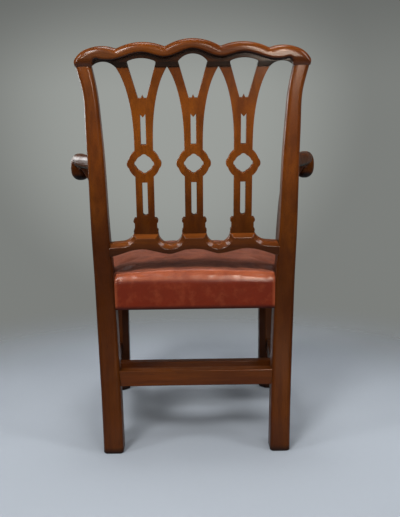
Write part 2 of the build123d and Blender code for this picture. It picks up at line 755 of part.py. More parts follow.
def make_arm(post):
    """The left arm without its tenon, a curved bar that ends in a scroll."""
    sections = []
    for step in range(6):
        share = step / 5
        here = arm_line(share)
        ahead = arm_line(min(share + 0.01, 1))
        behind = arm_line(max(share - 0.01, 0))
        plane = Plane(
            origin=(here[0], here[1], arm_height()),
            x_dir=(ahead[1] - behind[1], behind[0] - ahead[0], 0),
            z_dir=(ahead[0] - behind[0], ahead[1] - behind[1], 0),
        )
        width = blend(ARM_REAR_WIDTH, ARM_FRONT_WIDTH, share)
        rounding = blend(ARM_ROUND, ARM_FRONT_ROUND, share)
        sections.append(plane * RectangleRounded(width, ARM_DEPTH, rounding))
    centre = arm_line(1)
    scroll = Cylinder(SCROLL_RADIUS, SCROLL_WIDTH)
    scroll = fillet(scroll.edges().filter_by(GeomType.CIRCLE), SCROLL_ROUND)
    scroll = Pos(centre[0], centre[1], ARM_TOP - SCROLL_RADIUS) * Rot(0, 90, 0) * scroll
    return largest(loft(sections) + scroll - post)


def arm_tenon(clearance=0.0):
    """The tenon of the left arm into its post, or the mortise for it."""
    half_x = ARM_REAR_WIDTH / 4 + clearance
    half_z = ARM_DEPTH / 2 - TENON_SHOULDER + clearance
    middle = post_middle(arm_height())
    front = post_front(arm_height())
    reach = front + STUB_LENGTH + (TENON_END_GAP if clearance else 0)
    return block(
        (middle - half_x, middle + half_x),
        (front - TENON_LENGTH, reach),
        (arm_height() - half_z, arm_height() + half_z),
    )


def support_edge(start, middles, end):
    """The curves up one edge of the arm support: straight in its housing and then bent to the head."""
    shares = [0.22, *(share for place, share in middles), 1.0]
    heights = [blend(SUPPORT_FOOT_BOTTOM, arm_height(), share) for share in shares]
    points = list(zip((start, *(place for place, share in middles), end), heights))
    last = (points[-1][0] - points[-2][0], points[-1][1] - points[-2][1])
    return [Line((start, SUPPORT_FOOT_BOTTOM), points[0]), Spline(*points, tangents=((0, 1), last))]


def make_arm_support(arm):
    """The left arm support without its tenon, sawn from the side and the front."""
    head = arm_at(-SUPPORT_HEAD_SET) - SUPPORT_WIDTH / 2
    inner = SUPPORT_FOOT_INNER
    leans = ((0.02, 0.57), (0.13, 0.76), (0.5, 0.9))
    lean = [(blend(inner, head, outward), share) for outward, share in leans]
    inner_edge = support_edge(inner, lean, head)
    outer_edge = [Pos(SUPPORT_WIDTH, 0) * edge for edge in inner_edge]
    sides = []
    for side in (-0.5, 0.5):
        foot = -SUPPORT_FOOT_SET + side * SUPPORT_FOOT_DEPTH
        waist = side * SUPPORT_WAIST_DEPTH
        set_line = [
            (blend(-SUPPORT_FOOT_SET, -SUPPORT_HEAD_SET, back) + waist, share)
            for back, share in ((0.42, 0.57), (0.72, 0.76))
        ]
        sides.append(support_edge(foot, set_line, -SUPPORT_HEAD_SET + 1.1 * waist))
    from_front = extrude(Plane.XZ * closed_face(inner_edge, outer_edge), 2 * FRAME_DEPTH, both=True)
    from_side = extrude(Plane.YZ * closed_face(*sides), 2 * FRONT_LEG_OUTER)
    support = from_front & from_side
    return largest(support - arm)


def support_tenon(clearance=0.0):
    """The stub tenon of the left arm support into the arm, or the mortise for it."""
    half = SUPPORT_WIDTH / 4 + clearance
    middle = arm_at(-SUPPORT_HEAD_SET)
    under = ARM_TOP - ARM_DEPTH
    return block(
        (middle - half, middle + half),
        (-SUPPORT_HEAD_SET - half, -SUPPORT_HEAD_SET + half),
        (under - TENON_SHOULDER, under + STUB_LENGTH + (TENON_END_GAP if clearance else 0)),
    )


def support_housing(clearance):
    """The space that the foot of the left arm support takes in the side rail and the seat."""
    half = SUPPORT_FOOT_DEPTH / 2 + clearance
    return block(
        (SUPPORT_FOOT_INNER - clearance, 2 * FRONT_LEG_OUTER),
        (-SUPPORT_FOOT_SET - half, -SUPPORT_FOOT_SET + half),
        (SUPPORT_FOOT_BOTTOM - clearance, 2 * SEAT_EDGE_HEIGHT),
    )


# Upholstery


def seat_side(y):
    """The outer side of the leather at a distance from the back."""
    return side_rail_outer(y) + LEATHER


def seat_section(y, inset, drop, crown):
    """An upright section across the stuffed seat."""
    half = seat_side(y) - inset
    bottom = RAIL_BOTTOM - LEATHER + inset
    edge = SEAT_EDGE_HEIGHT - inset - drop
    radius = SEAT_EDGE_ROUND - inset
    diagonal = radius * (1 - math.sqrt(0.5))
    edges = [
        Line((-half, bottom), (half, bottom)),
        Line((half, bottom), (half, edge - radius)),
        ThreePointArc((half, edge - radius), (half - diagonal, edge - diagonal), (half - radius, edge)),
        ThreePointArc((half - radius, edge), (0, edge + crown), (radius - half, edge)),
        ThreePointArc((radius - half, edge), (diagonal - half, edge - diagonal), (-half, edge - radius)),
        Line((-half, edge - radius), (-half, bottom)),
    ]
    return Pos(0, y, 0) * Rot(90, 0, 0) * Face(Wire(edges))


def seat_form(inset):
    """The crowned form of the stuffed seat, smaller all round by an inset."""
    rear = -REAR_RAIL_SETBACK + LEATHER - inset
    front = -FRAME_DEPTH - LEATHER + inset
    nose = SEAT_EDGE_ROUND - inset
    stops = (
        (rear, 0.72 * nose, SEAT_END_CROWN),
        (rear - 0.12 * nose, 0.42 * nose, blend(SEAT_END_CROWN, SEAT_CROWN, 0.08)),
        (rear - 0.4 * nose, 0.16 * nose, blend(SEAT_END_CROWN, SEAT_CROWN, 0.2)),
        (rear - 1.2 * nose, 0.0, blend(SEAT_END_CROWN, SEAT_CROWN, 0.4)),
        (blend(rear, front, 0.25), 0.0, blend(SEAT_END_CROWN, SEAT_CROWN, 0.8)),
        (blend(rear, front, 0.5), 0.0, SEAT_CROWN),
        (blend(rear, front, 0.75), 0.0, blend(SEAT_END_CROWN, SEAT_CROWN, 0.8)),
        (front + 1.2 * nose, 0.0, blend(SEAT_END_CROWN, SEAT_CROWN, 0.4)),
        (front + 0.4 * nose, 0.16 * nose, blend(SEAT_END_CROWN, SEAT_CROWN, 0.2)),
        (front + 0.12 * nose, 0.42 * nose, blend(SEAT_END_CROWN, SEAT_CROWN, 0.08)),
        (front, 0.72 * nose, SEAT_END_CROWN),
    )
    return loft([seat_section(y, inset, drop, crown) for y, drop, crown in stops], ruled=True)


def seat_plan(inset):
    """The plan of the seat, smaller all round than the leather by an inset."""
    rear = -REAR_RAIL_SETBACK + LEATHER - inset
    front = -FRAME_DEPTH - LEATHER + inset
    rear_half = seat_side(rear) - inset
    front_half = seat_side(front) - inset
    corners = [(-rear_half, rear), (rear_half, rear), (front_half, front), (-front_half, front)]
    return make_face(Polyline(*corners, close=True))


def make_leather(obstacles):
    """The leather cover: a crowned skin with a flange turned in under the rails."""
    opening = extrude(seat_plan(LEATHER + FLANGE), LEATHER)
    skin = seat_form(0) - seat_form(LEATHER) - Pos(0, 0, RAIL_BOTTOM - LEATHER) * opening
    return largest(skin - obstacles)


def make_hessian(obstacles):
    """The base cloth stretched over the webbing."""
    cloth = extrude(seat_plan(LEATHER + HESSIAN_INSET), HESSIAN_THICKNESS)
    return largest(Pos(0, 0, WEBBING_TOP) * cloth - obstacles)


def make_stuffing(obstacles):
    """The hair stuffing between the base cloth and the leather."""
    below = block((-FRAME_DEPTH, FRAME_DEPTH), (-2 * FRAME_DEPTH, FRAME_DEPTH), (0, HESSIAN_TOP))
    return largest(seat_form(LEATHER + STUFFING_GAP) - below - obstacles)


def strap_places():
    """The middles of the straps from side to side, and those from front to rear."""
    inner_rear = -REAR_RAIL_SETBACK - RAIL_THICKNESS
    inner_front = -FRAME_DEPTH + RAIL_THICKNESS
    half = FRONT_LEG_INNER
    steps = [(index + 1) / (STRAPS_EACH_WAY + 1) for index in range(STRAPS_EACH_WAY)]
    across = [blend(-half, half, step) for step in steps]
    along = [blend(inner_rear, inner_front, step) for step in steps]
    return across, along


def make_lengthwise_straps():
    """The flat straps from the front rail to the rear rail."""
    rear = -REAR_RAIL_SETBACK - RAIL_THICKNESS + STRAP_LAP
    front = -FRAME_DEPTH + RAIL_THICKNESS - STRAP_LAP
    levels = (RAIL_TOP, RAIL_TOP + WEBBING_THICKNESS)
    half = WEBBING_WIDTH / 2
    return [block((x - half, x + half), (front, rear), levels) for x in strap_places()[0]]


def make_crosswise_straps(obstacles):
    """The straps from side to side, woven over and under the lengthwise ones."""
    xs, ys = strap_places()
    straps = []
    for row, y in enumerate(ys):
        end = side_rail_middle(y) - RAIL_THICKNESS / 2 + STRAP_LAP
        rail = side_rail_middle(y + WEBBING_WIDTH / 2) - RAIL_THICKNESS / 2
        path = [(-end, RAIL_TOP), (-rail, RAIL_TOP)]
        for column, x in enumerate(xs):
            level = RAIL_TOP + WEBBING_THICKNESS * (1 if (row + column) % 2 == 0 else -1)
            half = WEBBING_WIDTH / 2 + 2 * WEBBING_THICKNESS
            path += [(x - half, level), (x + half, level)]
        path += [(rail, RAIL_TOP), (end, RAIL_TOP)]
        above = [(x, z + WEBBING_THICKNESS) for x, z in reversed(path)]
        profile = Plane.XZ.offset(-y - WEBBING_WIDTH / 2) * make_face(Polyline(*path, *above, close=True))
        straps.append(largest(extrude(profile, WEBBING_WIDTH) - obstacles))
    return straps


# Tacks and screws


def facing(origin, direction):
    """The plane at a fixing, with its third axis into the wood."""
    return Plane(origin=origin, z_dir=direction)


def upright(radius, low, high):
    """A round bar along the third axis between two levels."""
    return Pos(0, 0, (low + high) / 2) * Cylinder(radius, high - low)


def make_tack(place):
    """A tack driven at a place."""
    head = upright(TACK_HEAD_RADIUS, -TACK_HEAD_THICKNESS, 0)
    return facing(*place) * (head + upright(TACK_SHANK_RADIUS, -TACK_HEAD_THICKNESS / 2, TACK_LENGTH))


def tack_hole(place):
    """The hole that a tack makes."""
    length = TACK_LENGTH + HOLE_CLEARANCE
    return facing(*place) * upright(TACK_SHANK_RADIUS + HOLE_CLEARANCE, -HOLE_CLEARANCE, length)


def make_screw(place):
    """A slotted screw driven at a place."""
    screw = upright(SCREW_HEAD_RADIUS, -SCREW_HEAD_THICKNESS, 0)
    screw += upright(SCREW_SHANK_RADIUS, -SCREW_HEAD_THICKNESS / 2, SCREW_LENGTH)
    slot = Pos(0, 0, -SCREW_HEAD_THICKNESS) * Box(3 * SCREW_HEAD_RADIUS, SCREW_SLOT, 2 * SCREW_SLOT)
    return facing(*place) * (screw - slot)


def screw_hole(place):
    """The hole for a screw and the pocket behind its head."""
    shank = upright(SCREW_SHANK_RADIUS + HOLE_CLEARANCE, -HOLE_CLEARANCE, SCREW_LENGTH + HOLE_CLEARANCE)
    return facing(*place) * (shank + upright(SCREW_HEAD_RADIUS + HOLE_CLEARANCE, -BLOCK_REACH, 0))


def spread(first, last):
    """Places at about the tack pitch from the first to the last."""
    count = max(2, round(abs(last - first) / TACK_PITCH) + 1)
    return [blend(first, last, index / (count - 1)) for index in range(count)]


def cover_tack_places():
    """Tacks up through the leather flange along each rail."""
    level = RAIL_BOTTOM - LEATHER
    inset = LEATHER + FLANGE / 2
    rear = -REAR_RAIL_SETBACK + LEATHER - inset
    front = -FRAME_DEPTH - LEATHER + inset
    clear = 3 * TACK_HEAD_RADIUS
    rear_half = post_inner(RAIL_BOTTOM) - clear
    front_half = FRONT_LEG_INNER - clear
    places = [((x, rear, level), (0, 0, 1)) for x in spread(-rear_half, rear_half)]
    places += [((x, front, level), (0, 0, 1)) for x in spread(-front_half, front_half)]
    for y in spread(post_front(RAIL_BOTTOM) - clear, FRONT_LEG_REAR + clear):
        x = seat_side(y) - inset
        places += [((x, y, level), (0, 0, 1)), ((-x, y, level), (0, 0, 1))]
    return places


def strap_tack_places():
    """Tacks down through the ends of the straps."""
    xs, ys = strap_places()
    level = RAIL_TOP + WEBBING_THICKNESS
    rear = -REAR_RAIL_SETBACK - RAIL_THICKNESS + STRAP_LAP / 2
    front = -FRAME_DEPTH + RAIL_THICKNESS - STRAP_LAP / 2
    steps = [(index + 0.5) / TACKS_PER_STRAP_END - 0.5 for index in range(TACKS_PER_STRAP_END)]
    places = []
    for step in steps:
        for x in xs:
            places += [((x + step * WEBBING_WIDTH, y, level), (0, 0, -1)) for y in (rear, front)]
        for middle in ys:
            y = middle + step * WEBBING_WIDTH
            x = side_rail_middle(middle) - (RAIL_THICKNESS - STRAP_LAP) / 2
            places += [((side * x, y, level), (0, 0, -1)) for side in (-1, 1)]
    return places


def front_block_screws():
    """Screws of the left front corner block, first into the front rail and then the side rail."""
    x = FRONT_LEG_INNER - BLOCK_REACH / 4
    y = FRONT_LEG_REAR + BLOCK_REACH / 4
    inner = side_rail_middle(y) - RAIL_THICKNESS / 2
    return [
        ((x, -FRAME_DEPTH + RAIL_THICKNESS + SCREW_POCKET, RAIL_MIDDLE), (0, -1, 0)),
        ((inner - SCREW_POCKET, y, RAIL_MIDDLE), (1, 0, 0)),
    ]


def rear_block_screws():
    """Screws of the left rear corner block, first into the rear rail and then the side rail."""
    x = post_inner(RAIL_MIDDLE) - BLOCK_REACH / 4
    y = post_front(RAIL_MIDDLE) - BLOCK_REACH / 4
    inner = side_rail_middle(y) - RAIL_THICKNESS / 2
    return [
        ((x, -REAR_RAIL_SETBACK - RAIL_THICKNESS - SCREW_POCKET, RAIL_MIDDLE), (0, 1, 0)),
        ((inner - SCREW_POCKET, y, RAIL_MIDDLE), (1, 0, 0)),
    ]


def support_screws():
    """Screws of the left arm support, through the side rail from inside."""
    inner = side_rail_middle(-SUPPORT_FOOT_SET) - RAIL_THICKNESS / 2
    seat = inner + 1.5 * SCREW_HEAD_THICKNESS
    heights = [blend(SUPPORT_FOOT_BOTTOM, RAIL_TOP, share) for share in (0.22, 0.6)]
    return [((seat, -SUPPORT_FOOT_SET, height), (1, 0, 0)) for height in heights]


# Assembly


def build_chair():
    """Every piece of the chair by name, each left-hand one with its right-hand twin."""
    post = make_post()
    leg = make_front_leg()
    posts = [post, mirrored(post)]
    legs = [leg, mirrored(leg)]
    crest = make_crest()
    splat = make_splat()
    lower_rail = make_lower_rail(posts)

    rail_reach = post_inner(RAIL_MIDDLE) + TENON_LENGTH
    rear_y = -REAR_RAIL_SETBACK - RAIL_THICKNESS / 2
    rear_rail, rear_mortise = joined_bar(
        (-rail_reach, rear_y), (rail_reach, rear_y), RAIL_THICKNESS, RAIL_BOTTOM, RAIL_TOP, posts
    )
    front_reach = FRONT_LEG_INNER + TENON_LENGTH
    front_y = -FRAME_DEPTH + RAIL_THICKNESS / 2
    front_rail, front_mortise = joined_bar(
        (-front_reach, front_y), (front_reach, front_y), RAIL_THICKNESS, RAIL_BOTTOM, RAIL_TOP, legs
    )
    side_ends = [
        (side_rail_middle(y), y)
        for y in (post_front(RAIL_MIDDLE) + TENON_LENGTH, FRONT_LEG_REAR - TENON_LENGTH)
    ]
    side_run = math.atan2(side_ends[1][0] - side_ends[0][0], side_ends[0][1] - side_ends[1][1])
    side_thickness = RAIL_THICKNESS * math.cos(side_run)
    side_rail, side_mortise = joined_bar(*side_ends, side_thickness, RAIL_BOTTOM, RAIL_TOP, [post, leg])

    low_middle = STRETCHER_BOTTOM + STRETCHER_HEIGHT / 2
    low_rear = (post_middle(low_middle), post_front(low_middle) + TENON_LENGTH)
    leg_flat = FRONT_LEG_SIZE - FRONT_LEG_CHAMFER
    low_front = (FRONT_LEG_OUTER - leg_flat / 2, FRONT_LEG_REAR - TENON_LENGTH)
    stretcher_size = (STRETCHER_THICKNESS, STRETCHER_BOTTOM, STRETCHER_TOP)
    side_stretcher, low_mortise = joined_bar(
        low_rear, low_front, *stretcher_size, [post, leg], STRETCHER_ROUND
    )
    medial_end = [blend(a, b, 0.5) for a, b in zip(low_rear, low_front)]
    medial_stretcher, medial_mortise = joined_bar(
        (-medial_end[0], medial_end[1]),
        medial_end,
        *stretcher_size,
        [side_stretcher, mirrored(side_stretcher)],
        STRETCHER_ROUND,
    )
    high_middle = REAR_STRETCHER_BOTTOM + STRETCHER_HEIGHT / 2
    high_reach = post_inner(high_middle) + TENON_LENGTH
    high_y = post_rear(high_middle) - REAR_STRETCHER_SETBACK - REAR_STRETCHER_THICKNESS / 2
    rear_stretcher, high_mortise = joined_bar(
        (-high_reach, high_y),
        (high_reach, high_y),
        REAR_STRETCHER_THICKNESS,
        REAR_STRETCHER_BOTTOM,
        REAR_STRETCHER_TOP,
        posts,
        STRETCHER_ROUND,
    )

    arm = make_arm(post)
    support = make_arm_support(arm)
    inner_face = side_rail_middle(-FRAME_DEPTH) - RAIL_THICKNESS / 2 + BLOCK_INSET
    front_corner = (inner_face, -FRAME_DEPTH + RAIL_THICKNESS)
    front_block = make_corner_block(front_corner, (-1, 1), [leg, front_rail, side_rail])
    rear_corner = (
        side_rail_middle(0) - RAIL_THICKNESS / 2 + BLOCK_INSET,
        -REAR_RAIL_SETBACK - RAIL_THICKNESS,
    )
    rear_block = make_corner_block(rear_corner, (-1, -1), [post, rear_rail, side_rail])

    housings = [support_housing(LEATHER_GAP), mirrored(support_housing(LEATHER_GAP))]
    leather = make_leather(posts + legs + housings)
    hessian = make_hessian(posts + housings)
    stuffing = make_stuffing(posts + housings)
    lengthwise = make_lengthwise_straps()
    crosswise = make_crosswise_straps(housings)

    front_screws = front_block_screws()
    rear_screws = rear_block_screws()
    block_screws = front_screws + rear_screws
    block_holes = [screw_hole(place) for place in block_screws]
    all_block_holes = block_holes + [mirrored(hole) for hole in block_holes]
    support_holes = [screw_hole(place) for place in support_screws()]
    cover_tacks = cover_tack_places()
    strap_tacks = strap_tack_places()
    cover_holes = [tack_hole(place) for place in cover_tacks]
    strap_holes = [tack_hole(place) for place in strap_tacks]
    tack_holes = cover_holes + strap_holes

    head_middle = NECK_OUTER - NECK_WIDTH / 2
    head_forward = NECK_DEPTH * RAKE_COS / 2
    head_tenon, head_mortise = (
        back_block(
            (head_middle - NECK_WIDTH / 4 - gap, head_middle + NECK_WIDTH / 4 + gap),
            (CREST_JOINT_HEIGHT - TENON_SHOULDER, CREST_JOINT_HEIGHT + STUB_LENGTH + end),
            (head_forward - NECK_DEPTH / 5 - gap, head_forward + NECK_DEPTH / 5 + gap),
        )
        for gap, end in ((0.0, 0.0), (TENON_CLEARANCE, TENON_END_GAP))
    )
    splat_shifts = [Pos(place * SPLAT_SPACING, 0, 0) for place in (-1, 0, 1)]
    splat_mortises = [shift * cutter for shift in splat_shifts for cutter in splat_tenons(TENON_CLEARANCE)]

    post_cuts = [rear_mortise, side_mortise, low_mortise, high_mortise]
    post_cuts += [*lower_rail_tenons(TENON_CLEARANCE), arm_tenon(TENON_CLEARANCE)]
    left = {
        "rear_post": post - post_cuts + head_tenon,
        "front_leg": leg - [front_mortise, side_mortise, low_mortise],
        "side_seat_rail": side_rail - support_housing(0) - block_holes - support_holes - tack_holes,
        "side_stretcher": side_stretcher - medial_mortise,
        "arm": arm + arm_tenon() - support_tenon(TENON_CLEARANCE),
        "arm_support": support + support_tenon() - support_holes,
        "front_corner_block": front_block - block_holes,
        "rear_corner_block": rear_block - block_holes,
    }
    nodes = {}
    for name, piece in left.items():
        solid = largest(piece)
        nodes["left_" + name] = [solid]
        nodes["right_" + name] = [mirrored(solid)]
    nodes["crest_rail"] = [largest(crest - splat_mortises - [head_mortise, mirrored(head_mortise)])]
    for name, shift in zip(("right_splat", "centre_splat", "left_splat"), splat_shifts):
        nodes[name] = [shift * splat]
    nodes["lower_back_rail"] = [largest(lower_rail - splat_mortises)]
    nodes["rear_seat_rail"] = [largest(rear_rail - all_block_holes - tack_holes)]
    nodes["front_seat_rail"] = [largest(front_rail - all_block_holes - tack_holes)]
    nodes["medial_stretcher"] = [medial_stretcher]
    nodes["rear_stretcher"] = [rear_stretcher]
    nodes["lengthwise_webbing"] = [largest(strap - strap_holes) for strap in lengthwise]
    nodes["crosswise_webbing"] = [largest(strap - strap_holes) for strap in crosswise]
    nodes["hessian_base"] = [hessian]
    nodes["hair_stuffing"] = [stuffing]
    nodes["leather_cover"] = [largest(leather - cover_holes)]
    nodes["cover_tacks"] = [make_tack(place) for place in cover_tacks]
    nodes["webbing_tacks"] = [make_tack(place) for place in strap_tacks]
    for name, places in (("corner_block_screws", block_screws), ("arm_support_screws", support_screws())):
        screws = [make_screw(place) for place in places]
        nodes[name] = screws + [mirrored(screw) for screw in screws]
    return nodes


def main():
    os.makedirs("parts", exist_ok=True)
    nodes = build_chair()
    box = Compound([piece for pieces in nodes.values() for piece in pieces]).bounding_box()
    centring = Pos(-(box.min.X + box.max.X) / 2, -(box.min.Y + box.max.Y) / 2, -box.min.Z)
    for name, pieces in nodes.items():
        placed = [centring * piece for piece in pieces]
        export_step(placed[0] if len(placed) == 1 else Compound(placed), f"parts/{name}.step")
    print("back of the seat moved to y =", round(centring.position.Y, 3), "mm")


main()
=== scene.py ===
"""Finishes a child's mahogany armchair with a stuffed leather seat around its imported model."""

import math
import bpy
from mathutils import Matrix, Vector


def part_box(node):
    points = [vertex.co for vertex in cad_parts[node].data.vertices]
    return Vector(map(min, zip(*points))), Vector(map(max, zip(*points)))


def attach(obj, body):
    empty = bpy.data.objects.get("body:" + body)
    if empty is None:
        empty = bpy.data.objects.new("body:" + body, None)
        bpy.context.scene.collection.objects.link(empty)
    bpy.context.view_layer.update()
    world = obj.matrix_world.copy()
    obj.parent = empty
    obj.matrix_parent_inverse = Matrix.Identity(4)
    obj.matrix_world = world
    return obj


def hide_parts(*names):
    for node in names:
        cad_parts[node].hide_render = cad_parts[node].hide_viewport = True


bl_info = {
    "name": "Child's Armchair",
    "version": (1, 0, 0),
    "blender": (4, 5, 0),
    "location": "View3D > Sidebar > Armchair",
    "description": "Polishes the frame and upholsters the seat of a child's armchair",
    "category": "Object",
}

import bmesh
import bpy
from bpy.props import FloatProperty, FloatVectorProperty, PointerProperty
from mathutils import Vector, noise
from mathutils.bvhtree import BVHTree

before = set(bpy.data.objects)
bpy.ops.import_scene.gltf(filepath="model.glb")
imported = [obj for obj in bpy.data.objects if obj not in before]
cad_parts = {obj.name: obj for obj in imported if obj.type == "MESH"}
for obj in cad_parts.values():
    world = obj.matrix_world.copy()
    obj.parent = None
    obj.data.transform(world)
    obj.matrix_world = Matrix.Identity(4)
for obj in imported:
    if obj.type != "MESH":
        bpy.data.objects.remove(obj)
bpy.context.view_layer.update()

MM = 0.001
BODY = "root"
RAKE = math.radians(8.2)
# Where the rear faces of the posts bend back, along Y and Z
BACK_LINE = (130.22 * MM, 265 * MM)

POSTS = ("left_rear_post", "right_rear_post")
SPLATS = ("left_splat", "centre_splat", "right_splat")
FRONT_LEGS = ("left_front_leg", "right_front_leg")
SIDE_STRETCHERS = ("left_side_stretcher", "right_side_stretcher")
CROSS_STRETCHERS = ("medial_stretcher", "rear_stretcher")
ARMS = ("left_arm", "right_arm")
SUPPORTS = ("left_arm_support", "right_arm_support")
SIDE_RAILS = ("left_side_seat_rail", "right_side_seat_rail")
CROSS_RAILS = ("front_seat_rail", "rear_seat_rail")
CORNER_BLOCKS = (
    "left_front_corner_block",
    "right_front_corner_block",
    "left_rear_corner_block",
    "right_rear_corner_block",
)

# Angles up to which faces are joined as flat, left without an eased edge, or shaded as one
FLAT_ANGLE = math.radians(0.05)
ARRIS_ANGLE = math.radians(32)
WOOD_SHADING = math.radians(40)
LEATHER_SHADING = math.radians(50)
CLOTH_SHADING = math.radians(60)
MERGE_DISTANCE = 0.002 * MM

# Turns that lay a piece's grain along the third axis of its pattern
GRAIN_UP = (0.0, 0.0, 0.0)
GRAIN_RAKED = (-RAKE, 0.0, 0.0)
GRAIN_ACROSS = (0.0, -math.pi / 2, 0.0)
GRAIN_LENGTHWISE = (math.pi / 2, 0.0, 0.0)

# Heights between which the crest rail is joined to the posts, and how far out
JOINT_HEIGHTS = (632 * MM, 648 * MM)
JOINT_REACH = 150 * MM
JOINT_FADE = 8 * MM

# Lengths over which the looks of the wood change, among them its painted shade and painted shadow
# Heights over which painted shade darkens the wood toward the floor
SHADE_HEIGHTS = (330 * MM, 540 * MM)
GLOSS_HEIGHTS = (300 * MM, 600 * MM)
FOOT_HEIGHTS = (2 * MM, 13 * MM)
# Heights and depths of the painted shadow under the crest rail's roll
PAD_HEIGHTS = (645 * MM, 653 * MM)
RECESS_DEPTHS = (3.5 * MM, 8.5 * MM)
# Where painted shade darkens the crest rail toward its +X end
CREST_DIM = (60 * MM, 160 * MM)
CREST_ENDS = (60 * MM, 115 * MM)
# How far painted shade reaches out of hollows
HOLLOW_SHADE_REACH = 16 * MM
RUBBED_WIDTH = 1.6 * MM

# Two heights between which painted shade darkens a piece downward, and the share that is left below
SPLAT_FADE = (0.37, 0.46, 0.68)
LOWER_RAIL_FADE = (0.34, 0.364, 0.4)

# Colours of the metals and of their rust
IRON = (0.05, 0.05, 0.055)
IRON_RUST = (0.09, 0.04, 0.02)
STEEL = (0.3, 0.29, 0.27)
STEEL_RUST = (0.14, 0.07, 0.03)

# Colours of the leather: painted sheen on its top, painted shadow in the dip, its foot, painted
# shade in corners, and its grain
LEATHER_PAINTED_SHEEN = (0.2, 0.075, 0.045)
LEATHER_RAIL_SHADOW = (0.025, 0.01, 0.007)
LEATHER_FOOT = (0.03, 0.006, 0.004)
LEATHER_CORNER_SHADE = (0.02, 0.005, 0.003)
LEATHER_CREASE = (0.05, 0.01, 0.006)
LEATHER_SHEEN = (1.0, 0.62, 0.55, 1.0)
# How far painted shade reaches out of corners in the leather
LEATHER_HOLLOW_SHADE_REACH = 14 * MM

# How the closed forms of the seat are meshed and the leather is swelled
SEAT_VOXEL = 5 * MM
CLOTH_PRESSURE = 4.0
CLOTH_STEPS = 20
SWELL_LIMIT = 3.5 * MM

# Heights over the foot of the leather: held as it swells, left as a hem, and where its edge begins
HELD_HEIGHT = 52 * MM
HEM_HEIGHT = 4 * MM
EDGE_HEIGHT = 46 * MM
EDGE_RISE = 12 * MM
SLACK_RISE = 15 * MM

# Height, middle and reach in millimetres of the roll along the rear edge and of the dip before it
ROLL = (1.4, 9, 11)
DIP = (-3.2, 27, 15)

# Where the skin turns under, its steps inward and down, and the room left at the legs and posts
TURN_HEIGHT = 2.4 * MM
TURN_STEPS = ((0.35 * MM, -1.4 * MM), (0.9 * MM, -0.8 * MM), (11.8 * MM, -0.1 * MM))
FACE_BAND = 6 * MM
LEG_ROOM = 2 * MM
POST_ROOM = 16 * MM
POST_LENGTH = 48 * MM

# Gaps that the leather, the stuffing and the hessian leave round the posts and supports
LEATHER_GAP = 0.2 * MM
HAIR_GAP = 2.5 * MM
HESSIAN_GAP = 3 * MM

HESSIAN_CELLS = (84, 76)
HESSIAN_THICKNESS = 0.6 * MM
HESSIAN_SAG = 0.25 * MM
HESSIAN_THREAD = 2.6 * MM
# How far before the rear edge and from the middle the hessian's rear corners are looked for
HESSIAN_REAR = 45 * MM
HESSIAN_MIDDLE = 60 * MM

STRAP_CELLS = (12, 110)
STRAP_WIDTH = 45 * MM
STRAP_SPACING = 68.75 * MM
STRAP_THICKNESS = 1.0 * MM
STRAP_THREAD = 1.9 * MM
STRAP_STRIPE = (0.1, 0.03, 0.02)
# How far a strap rises over one that it crosses, and the share of the way that stays flat
STRAP_LIFT = 1.2 * MM
STRAP_FLAT = 0.62

FLOOR_RADIUS = 3.0
FLOOR_FADE = (0.42, 1.0)
# Direction of the pool of light on the backdrop, and the cosines at its edge and its middle
POOL_WAY = (0.02, -0.9995, 0.02)
POOL_EDGE = (0.965, 0.999)
SKY_TINT = (0.95, 1.0, 1.06)

CAMERA_PLACE = (12.3 * MM, 1364.8 * MM, 547.0 * MM)
CAMERA_TURN = (80.0965, 0.5733, 178.9149)
SENSOR_WIDTH = 36.0

# Place, target and size of the key light
KEY_LIGHT = ((1.31, 2.76, 2.85), (0.0, 0.1, 0.35), (0.87, 0.87))
WHITE = (1.0, 1.0, 1.0)
CARD_TINT = (1.0, 0.88, 0.74)
# The other lamps: place, target, size, share of the side lights' power, spread in degrees and tint
LAMPS = {
    "left_light": ((1.3, 0.75, 1.3), (0.0, 0.15, 0.55), (0.22, 0.6), 1.0, 180, WHITE),
    "right_light": ((-1.2, 0.7, 1.35), (0.0, 0.15, 0.55), (0.3, 0.7), 1.0, 180, WHITE),
    "fill_light": ((-0.6, 1.75, 1.3), (-0.1, 0.19, 0.5), (0.5, 0.6), 1.4, 180, WHITE),
    "tall_card": ((-0.325, 1.75, 0.9), (-0.12, 0.19, 0.66), (0.156, 1.2), 3.4, 180, CARD_TINT),
    "low_card": ((0.6, 1.7, 0.9), (0.14, 0.19, 0.5), (0.1, 1.2), 1.6, 180, CARD_TINT),
    "top_light": ((0.0, -0.15, 1.9), (0.0, 0.0, 0.3), (0.7, 0.7), 0.2, 50, WHITE),
    "rim_light": ((0.95, -1.05, 0.72), (0.0, 0.15, 0.62), (0.5, 0.5), 0.08, 50, WHITE),
}
# Lamps that only show in the polish, and those that never show in it
CARDS = ("tall_card", "low_card")
FILLS = ("fill_light",)


# Sizes and colours


